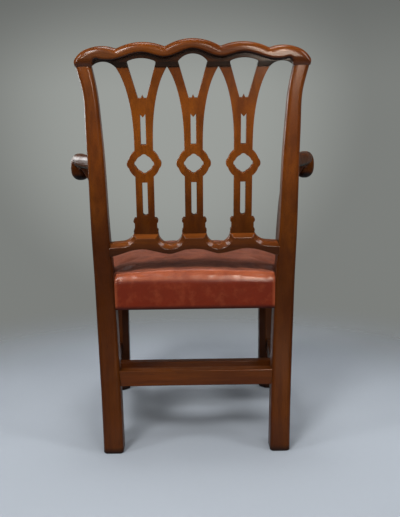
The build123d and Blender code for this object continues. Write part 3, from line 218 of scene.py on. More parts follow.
class ArmchairWood(bpy.types.PropertyGroup):
    """Colours and polish of the wooden frame."""

    light: FloatVectorProperty(
        name="Light Figure",
        description="Colour of the lighter bands in the mahogany",
        subtype="COLOR",
        default=(0.27, 0.068, 0.0035),
        min=0.0,
        max=1.0,
    )
    middle: FloatVectorProperty(
        name="Middle Figure",
        description="Main colour of the mahogany",
        subtype="COLOR",
        default=(0.16, 0.034, 0.002),
        min=0.0,
        max=1.0,
    )
    dark: FloatVectorProperty(
        name="Dark Figure",
        description="Colour of the darker bands and pores in the mahogany",
        subtype="COLOR",
        default=(0.04, 0.008, 0.0012),
        min=0.0,
        max=1.0,
    )
    # Colour of the painted shade in hollows, on faces that look down and under the crest rail's
    # roll, and of the darker feet
    shade_and_dirt: FloatVectorProperty(
        name="Old Wax",
        description="Colour of old wax and dirt in corners and under edges",
        subtype="COLOR",
        default=(0.006, 0.003, 0.002),
        min=0.0,
        max=1.0,
    )
    rubbed: FloatVectorProperty(
        name="Rubbed Edge",
        description="Colour of edges where the stain is rubbed away",
        subtype="COLOR",
        default=(0.42, 0.15, 0.045),
        min=0.0,
        max=1.0,
    )
    ease: FloatProperty(
        name="Eased Edge",
        description="Width of the worn edges of the sawn pieces",
        unit="LENGTH",
        default=0.8 * MM,
        min=0.1 * MM,
        max=2.0 * MM,
    )
    beech: FloatVectorProperty(
        name="Beech",
        description="Colour of the bare seat frame under the leather",
        subtype="COLOR",
        default=(0.42, 0.25, 0.12),
        min=0.0,
        max=1.0,
    )


class ArmchairSeat(bpy.types.PropertyGroup):
    """Sizes and colours of the upholstery."""

    leather: FloatVectorProperty(
        name="Leather",
        description="Main colour of the leather",
        subtype="COLOR",
        default=(0.155, 0.016, 0.004),
        min=0.0,
        max=1.0,
    )
    # Colour of worn leather, also used for painted highlights along the rear roll and the sides of
    # the rear panel
    worn: FloatVectorProperty(
        name="Worn Leather",
        description="Colour of the leather where it is rubbed",
        subtype="COLOR",
        default=(0.36, 0.085, 0.03),
        min=0.0,
        max=1.0,
    )
    leather_thickness: FloatProperty(
        name="Leather Thickness",
        description="Thickness of the leather",
        unit="LENGTH",
        default=1.8 * MM,
        min=0.5 * MM,
        max=3.0 * MM,
    )
    hair: FloatVectorProperty(
        name="Hair",
        description="Colour of the curled hair stuffing",
        subtype="COLOR",
        default=(0.09, 0.06, 0.04),
        min=0.0,
        max=1.0,
    )
    hessian: FloatVectorProperty(
        name="Hessian",
        description="Colour of the base cloth",
        subtype="COLOR",
        default=(0.42, 0.3, 0.16),
        min=0.0,
        max=1.0,
    )
    webbing: FloatVectorProperty(
        name="Webbing",
        description="Colour of the webbing",
        subtype="COLOR",
        default=(0.5, 0.41, 0.28),
        min=0.0,
        max=1.0,
    )


class ArmchairStage(bpy.types.PropertyGroup):
    """Floor, backdrop, light and camera."""

    floor: FloatVectorProperty(
        name="Floor",
        description="Colour of the floor",
        subtype="COLOR",
        default=(0.4, 0.437, 0.485),
        min=0.0,
        max=1.0,
    )
    backdrop: FloatVectorProperty(
        name="Backdrop",
        description="Colour of the backdrop behind the chair",
        subtype="COLOR",
        default=(0.2, 0.209, 0.198),
        min=0.0,
        max=1.0,
    )
    key_power: FloatProperty(
        name="Key Light",
        description="Power of the main light behind the camera",
        subtype="POWER",
        default=80.0,
        min=0.0,
    )
    side_power: FloatProperty(
        name="Side Lights",
        description="Power of each light beside the chair",
        subtype="POWER",
        default=7.0,
        min=0.0,
    )
    sky: FloatProperty(
        name="Room Light",
        description="Strength of the even light of the room",
        default=0.16,
        min=0.0,
    )
    lens: FloatProperty(
        name="Lens",
        description="Focal length of the camera",
        unit="CAMERA",
        default=52.224,
        min=10.0,
    )


# Working with objects


def choose(piece=None):
    """Selects one piece alone and makes it active, or selects nothing, in object mode."""
    if bpy.context.mode != "OBJECT":
        bpy.ops.object.mode_set(mode="OBJECT")
    bpy.ops.object.select_all(action="DESELECT")
    if piece is not None:
        piece.select_set(True)
        bpy.context.view_layer.objects.active = piece


def edit_all(piece):
    """Opens a piece in edit mode with all of it selected."""
    choose(piece)
    bpy.ops.object.mode_set(mode="EDIT")
    bpy.ops.mesh.select_all(action="SELECT")


def edit_some(piece, kind, wanted):
    """Opens a piece in edit mode with those edges or faces selected that are wanted."""
    choose(piece)
    bpy.ops.object.mode_set(mode="EDIT")
    bpy.ops.mesh.select_mode(type=kind)
    bpy.ops.mesh.select_all(action="DESELECT")
    work = bmesh.from_edit_mesh(piece.data)
    work.normal_update()
    for part in work.edges if kind == "EDGE" else work.faces:
        part.select_set(wanted(part))
    bmesh.update_edit_mesh(piece.data)


def node_copy(node, name):
    """A piece with its own merged copy of a node's mesh."""
    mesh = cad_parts[node].data.copy()
    mesh.materials.clear()
    mesh.name = name
    piece = bpy.data.objects.new(name, mesh)
    bpy.context.scene.collection.objects.link(piece)
    edit_all(piece)
    bpy.ops.mesh.remove_doubles(threshold=MERGE_DISTANCE)
    bpy.ops.mesh.customdata_custom_splitnormals_clear()
    bpy.ops.object.mode_set(mode="OBJECT")
    return piece


def new_grid(name, cells):
    """A flat grid one metre wide, as the start of a sheet."""
    choose()
    bpy.ops.mesh.primitive_grid_add(x_subdivisions=cells[0], y_subdivisions=cells[1], size=1.0)
    grid = bpy.context.object
    grid.name = name
    return grid


def is_arris(edge):
    """True for an outer edge between two faces at a clear angle, away from the posts' joints."""
    if len(edge.link_faces) != 2 or not edge.is_convex or edge.calc_face_angle(0.0) < ARRIS_ANGLE:
        return False
    low, high = JOINT_HEIGHTS
    return any(abs(point.co.x) < JOINT_REACH or not low < point.co.z < high for point in edge.verts)


def apply_modifiers(piece):
    """Applies all modifiers of a piece in order."""
    choose(piece)
    for modifier in list(piece.modifiers):
        bpy.ops.object.modifier_apply(modifier=modifier.name)


def soften(piece, angle):
    """Smooth shading that keeps the edges above an angle sharp."""
    choose(piece)
    bpy.ops.object.shade_smooth_by_angle(angle=angle)


def finish_piece(piece, slot, material, *nodes):
    """Gives a finished piece its material and body, in place of the nodes. The slot is not used."""
    piece.data.materials.clear()
    piece.data.materials.append(material)
    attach(piece, BODY)
    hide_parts(*nodes)


def finish_nodes(nodes, material):
    """Puts a material on nodes that keep their shape."""
    for node in nodes:
        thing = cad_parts[node]
        thing.data.materials.clear()
        thing.data.materials.append(material)


def polish(node, material, ease, segments=2):
    """Makes the polished piece of a sawn node, with flat faces joined and outer edges eased."""
    piece = node_copy(node, f"{node}_polished")
    edit_all(piece)
    bpy.ops.mesh.dissolve_limited(angle_limit=FLAT_ANGLE)
    edit_some(piece, "EDGE", is_arris)
    bpy.ops.mesh.bevel(offset=ease, segments=segments, profile=0.5, clamp_overlap=False)
    bpy.ops.object.mode_set(mode="OBJECT")
    soften(piece, WOOD_SHADING)
    level = piece.modifiers.new("level", "WEIGHTED_NORMAL")
    level.keep_sharp = True
    apply_modifiers(piece)
    finish_piece(piece, "mahogany", material, node)


def closed_form(node, name):
    """A closed form around a node's mesh, without its hollows and notches, on an even mesh."""
    piece = node_copy(node, name)
    edit_all(piece)
    bpy.ops.mesh.convex_hull()
    bpy.ops.mesh.normals_make_consistent(inside=False)
    choose(piece)
    piece.data.remesh_voxel_size = SEAT_VOXEL
    bpy.ops.object.voxel_remesh()
    return piece


def cut_out(piece, node, gap, mark=None):
    """Cuts a node, grown by a gap, out of a closed form, and marks its walls with a material."""
    tool = node_copy(node, "cutter")
    edit_all(tool)
    bpy.ops.transform.shrink_fatten(value=gap, use_even_offset=True)
    bpy.ops.object.mode_set(mode="OBJECT")
    if mark is not None:
        tool.data.materials.append(mark)
    cut = piece.modifiers.new("cut", "BOOLEAN")
    cut.operation = "DIFFERENCE"
    cut.solver = "EXACT"
    cut.object = tool
    cut.material_mode = "TRANSFER"
    apply_modifiers(piece)
    bpy.data.objects.remove(tool)


def inflate(piece, held):
    """Swells a closed form by a cloth simulation in which the held points stay."""
    choose(piece)
    points = piece.data.vertices
    before = [point.co.copy() for point in points]
    pins = piece.vertex_groups.new(name="held")
    pins.add([point.index for point in points if held(point.co)], 1.0, "REPLACE")
    cloth = piece.modifiers.new("cloth", "CLOTH")
    cloth.settings.vertex_group_mass = pins.name
    cloth.settings.use_pressure = True
    cloth.settings.uniform_pressure_force = CLOTH_PRESSURE
    cloth.settings.effector_weights.gravity = 0.0
    cloth.point_cache.frame_start = 1
    cloth.point_cache.frame_end = CLOTH_STEPS
    for step in range(1, CLOTH_STEPS + 1):
        bpy.context.scene.frame_set(step)
    bpy.ops.object.modifier_apply(modifier=cloth.name)
    bpy.context.scene.frame_set(1)
    for point, start in zip(piece.data.vertices, before):
        move = point.co - start
        if move.length > SWELL_LIMIT:
            point.co = start + move * (SWELL_LIMIT / move.length)
    piece.vertex_groups.clear()


def subdivide(piece):
    """Applies one level of a subdivision surface."""
    surface = piece.modifiers.new("surface", "SUBSURF")
    surface.levels = surface.render_levels = 1
    apply_modifiers(piece)


def thicken(piece, thickness, offset=0.0):
    """Gives a skin its thickness, to both sides, or inward at an offset of -1."""
    wall = piece.modifiers.new("wall", "SOLIDIFY")
    wall.thickness = thickness
    wall.offset = offset
    apply_modifiers(piece)


def nearness(nodes):
    """A function that gives how far a point is from the nearest of these nodes."""
    trees = []
    for node in nodes:
        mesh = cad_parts[node].data
        corners = [point.co for point in mesh.vertices]
        trees.append(BVHTree.FromPolygons(corners, [face.vertices for face in mesh.polygons]))
    return lambda point: min(tree.find_nearest(point)[3] for tree in trees)


# Materials


def toned(colour, share):
    """A colour made darker or lighter by a share."""
    return tuple(min(1.0, share * part) for part in colour)


class Nodes:
    """Short ways to add and join the nodes of one tree."""

    def __init__(self, tree):
        self.tree = tree

    def add(self, kind, **settings):
        """A new node of a kind, with its settings."""
        node = self.tree.nodes.new(kind)
        for name, value in settings.items():
            setattr(node, name, value)
        return node

    def join(self, source, target):
        """Links an output to an input."""
        self.tree.links.new(source, target)

    def put(self, node, values):
        """Sets inputs by name or number to a value, or joins them to an output."""
        for name, value in values.items():
            if isinstance(value, bpy.types.NodeSocket):
                self.join(value, node.inputs[name])
            else:
                node.inputs[name].default_value = value

    def place(self, turn=(0.0, 0.0, 0.0), scale=(1.0, 1.0, 1.0), source=None):
        """Object coordinates, or those of a source, turned and scaled."""
        if source is None:
            source = self.add("ShaderNodeTexCoord").outputs["Object"]
        mapping = self.add("ShaderNodeMapping")
        self.put(mapping, {"Vector": source, "Rotation": turn, "Scale": scale})
        return mapping.outputs["Vector"]

    def normal(self):
        """The parts of the surface's normal along the three axes."""
        return self.split(self.add("ShaderNodeNewGeometry").outputs["Normal"])

    def noise(self, vector, scale, detail=2.0, roughness=0.5, distortion=0.0):
        """Cloudy noise from 0 to 1."""
        texture = self.add("ShaderNodeTexNoise")
        values = {"Vector": vector, "Scale": scale, "Detail": detail}
        self.put(texture, values | {"Roughness": roughness, "Distortion": distortion})
        return texture.outputs["Fac"]

    def cells(self, vector, scale):
        """How far a point is from the edge of its cell."""
        texture = self.add("ShaderNodeTexVoronoi", feature="DISTANCE_TO_EDGE")
        self.put(texture, {"Vector": vector, "Scale": scale})
        return texture.outputs["Distance"]

    def ramp(self, value, low, high, to_low=0.0, to_high=1.0):
        """A value mapped from one range to another, smoothly and within it."""
        node = self.add("ShaderNodeMapRange", interpolation_type="SMOOTHSTEP")
        self.put(node, {0: value, 1: low, 2: high, 3: to_low, 4: to_high})
        return node.outputs[0]

    def math(self, operation, first, second=0.5):
        """One operation on one or two values."""
        node = self.add("ShaderNodeMath", operation=operation)
        self.put(node, {0: first, 1: second})
        return node.outputs[0]

    def times(self, product, *factors):
        """The product of values."""
        for factor in factors:
            product = self.math("MULTIPLY", product, factor)
        return product

    def mix(self, share, first, second):
        """Two colours mixed by a share."""
        node = self.add("ShaderNodeMix", data_type="RGBA")
        self.put(node, {0: share})
        for place, colour in ((6, first), (7, second)):
            fixed = not isinstance(colour, bpy.types.NodeSocket)
            self.put(node, {place: (*colour[:3], 1.0) if fixed else colour})
        return node.outputs[2]

    def split(self, vector):
        """The parts of a vector along the three axes."""
        node = self.add("ShaderNodeSeparateXYZ")
        self.join(vector, node.inputs[0])
        return node.outputs

    def dot(self, first, second):
        """The dot product of two vectors."""
        node = self.add("ShaderNodeVectorMath", operation="DOT_PRODUCT")
        self.put(node, {0: first, 1: second})
        return node.outputs["Value"]

    def bump(self, height, distance, strength):
        """A normal that follows a height."""
        node = self.add("ShaderNodeBump")
        self.put(node, {"Height": height, "Distance": distance, "Strength": strength})
        return node.outputs["Normal"]

    def edges(self, radius):
        """Nearly 1 along edges and in corners, and 0 on open faces."""
        bevel = self.add("ShaderNodeBevel", samples=4)
        bevel.inputs["Radius"].default_value = radius
        flat = self.add("ShaderNodeNewGeometry").outputs["Normal"]
        return self.math("SUBTRACT", 1.0, self.dot(bevel.outputs["Normal"], flat))

    def hollows(self, distance):
        """Nearly 1 where other surfaces are close, and 0 in the open."""
        node = self.add("ShaderNodeAmbientOcclusion", samples=6)
        node.inputs["Distance"].default_value = distance
        return self.math("SUBTRACT", 1.0, node.outputs["AO"])


class Finish(Nodes):
    """The nodes of a new material with one shader."""

    def __init__(self, name):
        self.material = bpy.data.materials.new(name)
        self.material.use_nodes = True
        super().__init__(self.material.node_tree)
        self.tree.nodes.clear()
        self.output = self.add("ShaderNodeOutputMaterial")
        self.shader = self.add("ShaderNodeBsdfPrincipled")
        self.join(self.shader.outputs["BSDF"], self.output.inputs["Surface"])

    def done(self, values):
        """Sets the shader and gives the material."""
        self.put(self.shader, values)
        return self.material


def wood_figure(make, grain, shift):
    """The colour, pores and fibres of mahogany along a turned axis, shifted in their pattern."""
    wood = bpy.context.scene.armchair_wood
    slid = make.add("ShaderNodeVectorMath", operation="ADD")
    make.put(slid, {0: make.place(grain), 1: (shift, 0.37 * shift, 0.71 * shift)})

    def streaks(stretch, *texture):
        """Noise that is drawn out along the grain."""
        return make.noise(make.place(scale=(1, 1, stretch), source=slid.outputs[0]), *texture)

    figure = streaks(0.22, 22.0, 4.0, 0.55, 0.5)
    bands = streaks(0.06, 110.0, 3.0, 0.6)
    fibres = streaks(0.02, 900.0, 2.0, 0.6)
    pores = make.ramp(streaks(0.03, 1500.0, 1.0), 0.28, 0.4, 0.5, 0.0)
    colour = make.mix(make.ramp(figure, 0.3, 0.72), wood.middle, wood.light)
    broad = make.ramp(bands, 0.35, 0.62, 0.3, 0.0)
    fine = make.ramp(fibres, 0.3, 0.7, 0.2, 0.0)
    for share in (broad, fine, pores):
        colour = make.mix(share, colour, wood.dark)
    return colour, pores, fibres


def roll_shadow_mask(make, backward):
    """Nearly 1 on the set-back face under the roll of the crest rail, where painted shadow goes,
    and 0 elsewhere.
    """
    lean = (0.0, math.cos(RAKE), -math.sin(RAKE))
    line = BACK_LINE[0] * math.cos(RAKE) - BACK_LINE[1] * math.sin(RAKE)
    depth = make.math("SUBTRACT", line, make.dot(make.place(), lean))
    return make.times(make.ramp(depth, *RECESS_DEPTHS, 0.0, 0.97), make.ramp(backward, 0.3, 0.7))


def mahogany(
    name, grain, shift, tone=1.0, wear=1.0, gloss=1.0, fade=None, bevel=1.0, set_back=False
):
    """Polished mahogany with its grain along a turned axis, with painted shade that darkens it
    toward the floor.

    The tone scales a piece's painted shade and light: low for pieces seen in shade, high for lit
    ones.
    The fade gives two heights between which painted shade darkens a piece downward, and the share
    left below.
    The bevel is how much lighter the faces are that look up, as painted light.
    Faces that look down and hollows get painted shade, and the feet are darker.
    A set-back piece, the crest rail, gets painted shadow under its roll and on its pads, between
    its joints, and painted shade on faces that look down and toward its +X end.
    """
    wood = bpy.context.scene.armchair_wood
    make = Finish(name)
    colour, pores, fibres = wood_figure(make, grain, shift)
    patches = make.noise(make.place(), 9.0, 3.0)
    colour = make.mix(make.ramp(patches, 0.35, 0.7, 0.35, 0.0), colour, wood.dark)
    across, _, height = make.split(make.place())
    _, backward, facing = make.normal()
    # Painted shade: darker toward the floor, scaled by each piece's tone
    shade = make.times(make.ramp(height, *SHADE_HEIGHTS, 0.4, 1.0), tone)
    # Painted light: faces that look up are made lighter by the bevel share
    shade = make.times(shade, make.ramp(facing, 0.2, 0.6, 1.0, bevel))
    # Painted shade toward the foot of some pieces
    if fade:
        low, high, least = fade
        shade = make.times(shade, make.ramp(height, low, high, least, 1.0))
    # Painted shade under edges: faces that look down are darkened
    under = make.ramp(facing, -0.9, -0.15, 0.9, 0.0)
    coat = make.times(make.ramp(height, *GLOSS_HEIGHTS, 0.16, 0.45), tone * gloss)
    if set_back:
        aside = make.math("ABSOLUTE", across)
        between = make.ramp(aside, JOINT_REACH, JOINT_REACH + JOINT_FADE, 1.0, 0.0)
        under = make.times(under, between)
        # Painted shade on the crest rail: darker on faces that look down and toward its +X end
        shade = make.times(shade, make.ramp(facing, -0.5, 0.35, 0.72, 1.1))
        shade = make.times(shade, make.ramp(across, *CREST_DIM, 1.0, 0.66))
        # Painted shadow of the crest's roll on its pads and on the set-back face, where its gloss
        # is also taken away
        pad_shadow = make.times(make.ramp(height, *PAD_HEIGHTS, 0.94, 0.0), between)
        roll_shadow = make.math("MAXIMUM", roll_shadow_mask(make, backward), pad_shadow)
        coat = make.times(coat, make.math("SUBTRACT", 1.0, roll_shadow))
        coat = make.times(coat, make.ramp(aside, *CREST_ENDS, 0.3, 1.0))
    # The painted shade mixes in a very dark colour
    colour = make.mix(shade, toned(wood.dark, 0.3), colour)
    # Painted shade in hollows and on faces that look down, and darker feet, in one dark colour
    shade_and_dirt = make.ramp(make.math("MAXIMUM", make.hollows(HOLLOW_SHADE_REACH), under), 0.3, 0.8, 0.0, 0.92)
    shade_and_dirt = make.math("MAXIMUM", shade_and_dirt, make.ramp(height, *FOOT_HEIGHTS, 0.9, 0.0))
    colour = make.mix(shade_and_dirt, colour, wood.shade_and_dirt)
    rubbed = make.ramp(make.edges(RUBBED_WIDTH), 0.04, 0.25, 0.0, 0.5)
    rubbed = make.times(rubbed, make.ramp(patches, 0.4, 0.6), make.times(shade, wear))
    colour = make.mix(rubbed, colour, wood.rubbed)
    # Painted shadow under the crest's roll
    if set_back:
        colour = make.mix(roll_shadow, colour, wood.shade_and_dirt)
    relief = make.math("ADD", make.times(pores, -0.6), make.times(fibres, 0.3))
    return make.done(
        {
            "Base Color": colour,
            "Roughness": make.ramp(make.noise(make.place(), 60.0, 3.0), 0.3, 0.7, 0.32, 0.46),
            "IOR": 1.5,
            "Specular IOR Level": 0.05,
            "Coat Weight": coat,
            "Coat Roughness": 0.18,
            "Normal": make.bump(relief, 0.05 * MM, 0.4),
        }
    )


def bare_beech(name, grain):
    """Planed beech with short dark flecks."""
    wood = bpy.context.scene.armchair_wood
    make = Finish(name)
    place = make.place(grain)
    bands = make.noise(make.place(scale=(1, 1, 0.05), source=place), 90.0, 3.0)
    flecks = make.noise(make.place(scale=(1, 1, 0.16), source=place), 800.0, 1.0)
    deep = toned(wood.beech, 0.55)
    colour = make.mix(make.ramp(bands, 0.3, 0.7), wood.beech, toned(wood.beech, 1.25))
    colour = make.mix(make.ramp(flecks, 0.3, 0.4, 0.7, 0.0), colour, deep)
    stain = make.ramp(make.noise(make.place(), 14.0, 3.0), 0.45, 0.75, 0.0, 0.5)
    return make.done(
        {
            "Base Color": make.mix(stain, colour, deep),
            "Roughness": make.ramp(bands, 0.2, 0.8, 0.62, 0.8),
            "Normal": make.bump(flecks, 0.08 * MM, 0.5),
        }
    )


def dull_metal(name, colour, rust, roughness):
    """Iron or steel with a thin uneven skin of rust."""
    make = Finish(name)
    specks = make.noise(make.place(), 700.0, 3.0)
    return make.done(
        {
            "Base Color": make.mix(make.ramp(specks, 0.48, 0.72, 0.0, 0.7), colour, rust),
            "Metallic": 0.85,
            "Roughness": make.ramp(specks, 0.3, 0.7, roughness, roughness + 0.25),
            "Normal": make.bump(specks, 0.05 * MM, 0.4),
        }
    )


def worn_leather(name, low, high, rear, side):
    """Oxblood leather with a fine grain, painted sheen on its top, wear and painted highlights
    along its upper edges, painted shadow in the dip, painted shade in corners, and dark at its
    foot.

    It reaches from a low to a high level and back to a rear line, its corners at a side line.
    """
    seat = bpy.context.scene.armchair_seat
    make = Finish(name)
    place = make.place()
    across, along, height = make.split(place)
    facing = make.normal()[2]
    clouds = make.noise(place, 16.0, 4.0, 0.6)
    blotches = make.noise(place, 55.0, 3.0, 0.6)

    def below_top(first, last, *shares):
        """A ramp up between two drops from the high level, in millimetres."""
        return make.ramp(height, high - first * MM, high - last * MM, *shares)

    def before_rear(first, last, *shares):
        """A ramp backward between two lengths before the rear line, in millimetres."""
        return make.ramp(along, rear - first * MM, rear - last * MM, *shares)

    deep = toned(seat.leather, 0.55)
    colour = make.mix(make.ramp(clouds, 0.3, 0.7, 0.0, 0.4), seat.leather, deep)
    colour = make.mix(make.ramp(blotches, 0.45, 0.75, 0.0, 0.22), colour, seat.worn)
    # Lighter toward the top edge: wear, and a painted highlight along the rear roll
    rubbed = make.times(below_top(30, 8), make.ramp(blotches, 0.3, 0.65), 0.7)
    colour = make.mix(rubbed, colour, seat.worn)
    # Painted sheen: faces that look up are lighter
    colour = make.mix(make.times(make.ramp(facing, 0.6, 0.92), 0.55), colour, LEATHER_PAINTED_SHEEN)
    # Painted shadow of the lower back rail in the dip behind the roll, where the coat is also
    # thinner
    dip = make.times(before_rear(75, 28), before_rear(24, 15, 1.0, 0.0))
    dip = make.times(dip, make.ramp(facing, 0.4, 0.7, 0.0, 0.8))
    colour = make.mix(dip, colour, LEATHER_RAIL_SHADOW)
    # Painted highlight along the top of the rear roll, in a lighter worn colour
    edge = make.times(below_top(29, 23), make.ramp(facing, 0.75, 0.95, 1.0, 0.0))
    edge = make.times(edge, before_rear(17, 11), make.ramp(clouds, 0.25, 0.7, 0.25, 0.75))
    colour = make.mix(edge, colour, toned(seat.worn, 1.25))
    # Painted highlights down the sides of the rear panel, by the posts
    side_highlight = make.ramp(make.math("ABSOLUTE", across), side - 7 * MM, side - 3 * MM, 0.0, 0.45)
    colour = make.mix(make.times(side_highlight, before_rear(9, 6)), colour, seat.worn)
    colour = make.mix(make.ramp(height, low + 2 * MM, low + 9 * MM, 0.9, 0.0), colour, LEATHER_FOOT)
    # Painted shade in corners and hollows
    hollows = make.ramp(make.hollows(LEATHER_HOLLOW_SHADE_REACH), 0.35, 0.9, 0.0, 0.8)
    colour = make.mix(hollows, colour, LEATHER_CORNER_SHADE)
    cells = make.cells(place, 620.0)
    colour = make.mix(make.ramp(cells, 0.0, 0.1, 0.35, 0.0), colour, LEATHER_CREASE)
    pores = make.noise(place, 1400.0, 2.0)
    relief = make.math("ADD", make.ramp(cells, 0.0, 0.12), make.times(pores, 0.5))
    coat = make.times(make.ramp(facing, 0.6, 0.95, 1.0, 0.1), make.ramp(dip, 0.0, 0.4, 1.0, 0.1))
    return make.done(
        {
            "Base Color": colour,
            "Roughness": make.ramp(clouds, 0.3, 0.7, 0.36, 0.5),
            "Specular IOR Level": 0.06,
            "Coat Weight": make.times(below_top(36, 18, 0.03, 0.6), coat),
            "Coat Roughness": 0.22,
            "Sheen Weight": 0.02,
            "Sheen Roughness": 0.45,
            "Sheen Tint": LEATHER_SHEEN,
            "Normal": make.bump(relief, 0.16 * MM, 0.55),
        }
    )


def curled_hair(name):
    """Matted hair in short curled strands."""
    hair = bpy.context.scene.armchair_seat.hair
    make = Finish(name)
    place = make.place()
    strands = make.noise(place, 210.0, 4.0, 0.7, 3.5)
    tufts = make.noise(place, 40.0, 3.0, 0.6, 1.0)
    colour = make.mix(make.ramp(strands, 0.35, 0.65), toned(hair, 0.3), toned(hair, 2.2))
    colour = make.mix(make.ramp(tufts, 0.35, 0.7, 0.0, 0.6), colour, hair)
    normal = make.bump(strands, 1.2 * MM, 0.9)
    return make.done({"Base Color": colour, "Roughness": 0.85, "Normal": normal})


def plain_weave(make, across, along, spacing):
    """How high the threads of a plain weave stand, from two lengths across each other."""
    turns = 2 * math.pi / spacing
    warp = make.math("SINE", make.times(across, turns))
    weft = make.math("SINE", make.times(along, turns))
    return make.math("ADD", make.times(warp, weft, 0.5), 0.5)


def coarse_hessian(name):
    """Loosely woven jute cloth."""
    hessian = bpy.context.scene.armchair_seat.hessian
    make = Finish(name)
    across, along, _ = make.split(make.place())
    weave = plain_weave(make, across, along, HESSIAN_THREAD)
    slubs = make.noise(make.place(scale=(1, 0.1, 1)), 420.0, 2.0)
    colour = make.mix(make.ramp(slubs, 0.3, 0.7), hessian, toned(hessian, 0.6))
    colour = make.mix(make.ramp(weave, 0.2, 0.6, 0.6, 0.0), colour, toned(hessian, 0.3))
    normal = make.bump(weave, 0.5 * MM, 0.8)
    return make.done({"Base Color": colour, "Roughness": 0.9, "Normal": normal})


def striped_webbing(name, width, length):
    """Tightly woven webbing with two dark stripes near its edges, laid out on its own map."""
    webbing = bpy.context.scene.armchair_seat.webbing
    make = Finish(name)
    layout = make.split(make.add("ShaderNodeUVMap", uv_map="strap").outputs["UV"])
    across = make.times(layout[0], width)
    along = make.times(layout[1], length)
    weave = plain_weave(make, make.math("ADD", across, make.times(along, 0.5)), along, STRAP_THREAD)
    side = make.math("ABSOLUTE", make.math("SUBTRACT", layout[0], 0.5))
    stripe = make.math("ABSOLUTE", make.math("SUBTRACT", side, 0.36))
    slubs = make.noise(make.place(), 260.0, 3.0)
    colour = make.mix(make.ramp(slubs, 0.3, 0.7), webbing, toned(webbing, 0.7))
    colour = make.mix(make.ramp(stripe, 0.02, 0.032, 0.85, 0.0), colour, STRAP_STRIPE)
    colour = make.mix(make.ramp(weave, 0.2, 0.6, 0.5, 0.0), colour, toned(webbing, 0.35))
    normal = make.bump(weave, 0.35 * MM, 0.8)
    return make.done({"Base Color": colour, "Roughness": 0.85, "Normal": normal})


# Upholstery


def swell(value, middle, reach):
    """A smooth bump, 1 at its middle and 0 beyond its reach."""
    share = min(1.0, abs(value - middle) / reach)
    return 1 - share * share * (3 - 2 * share)


def pull_leather(cover, low, high):
    """Draws the skin in along the posts and supports, with a rear roll and shallow wrinkles."""
    from_posts = nearness(POSTS)
    from_supports = nearness(SUPPORTS)
    post_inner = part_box("rear_seat_rail")[1][0]
    for point, normal in [(point, point.normal.copy()) for point in cover.data.vertices]:
        place = point.co
        if place.z < low[2] + HEM_HEIGHT:
            continue
        post = from_posts(place) / MM
        support = from_supports(place) / MM
        rise = min(1.0, max(0.0, (place.z - low[2] - EDGE_HEIGHT) / EDGE_RISE))
        drawn = 2.0 * max(0.0, 1 - post / 9) ** 2 + 1.6 * max(0.0, 1 - support / 8) ** 2
        slack = 0.8 * min(1.0, post / 12, (place.z - low[2]) / SLACK_RISE)
        move = (1 - rise) * slack - rise * drawn
        if normal.z > 0.4 and abs(place.x) < post_inner:
            for height, middle, reach in (ROLL, DIP):
                move += height * swell((high[1] - place.y) / MM, middle, reach)
        ruck = noise.noise(Vector((place.x * 70, place.y * 40, place.z * 160)))
        pull = noise.noise(Vector((place.x * 210, 7.0, place.z * 60))) * max(0.0, 1 - post / 30)
        wave = noise.noise(Vector((place.x * 26, place.y * 26, place.z * 26 + 3.0)))
        move += rise * (0.5 * ruck + 0.6 * pull) + 0.35 * wave
        point.co = place + normal * (move * MM)
    cover.data.update()


def open_cover(cover, walls, low):
    """Leaves the skin alone: no walls in its notches and no bottom."""
    mark = cover.data.materials.find(walls.name)
    edit_some(cover, "FACE", lambda face: face.material_index == mark)
    bpy.ops.mesh.delete(type="FACE")
    bpy.ops.mesh.select_all(action="SELECT")
    line = (0.0, 0.0, low[2] + TURN_HEIGHT)
    bpy.ops.mesh.bisect(plane_co=line, plane_no=(0.0, 0.0, 1.0), clear_inner=True, use_fill=False)
    bpy.ops.object.mode_set(mode="OBJECT")


def turn_under(cover, low, high):
    """Turns the lower edge of the skin in under the rails, between the legs and the posts."""
    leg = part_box("left_front_leg")
    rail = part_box("rear_seat_rail")

    def inward(place):
        """The way in under the nearest rail, or none at a leg or a post."""
        if place.y > high[1] - FACE_BAND:
            return Vector((0, -1, 0)) if abs(place.x) < rail[1][0] - POST_ROOM else None
        if place.y < low[1] + FACE_BAND:
            return Vector((0, 1, 0)) if abs(place.x) < leg[0][0] - LEG_ROOM else None
        if leg[1][1] + LEG_ROOM < place.y < high[1] - POST_LENGTH:
            return Vector((-math.copysign(1, place.x), 0, 0))
        return None

    def is_lower(place):
        """True for a point on the lower edge that has a way in."""
        return abs(place.z - low[2] - TURN_HEIGHT) < 0.1 * MM and inward(place) is not None

    def is_hem(edge):
        """True for an open edge between two such points."""
        return edge.is_boundary and all(is_lower(point.co) for point in edge.verts)

    edit_some(cover, "EDGE", is_hem)
    for in_step, down_step in TURN_STEPS:
        bpy.ops.mesh.extrude_edges_move()
        work = bmesh.from_edit_mesh(cover.data)
        for point in work.verts:
            if point.select:
                point.co += inward(point.co) * in_step + Vector((0, 0, down_step))
        bmesh.update_edit_mesh(cover.data)
    bpy.ops.mesh.select_all(action="SELECT")
    bpy.ops.mesh.remove_doubles(threshold=0.01 * MM)
    bpy.ops.object.mode_set(mode="OBJECT")


def rear_half(node, rear):
    """Half the width of a flat node near its rear edge."""
    points = [point.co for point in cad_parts[node].data.vertices]
    sides = [abs(point.x) for point in points if point.y > rear - HESSIAN_REAR]
    return max(side for side in sides if side > HESSIAN_MIDDLE)


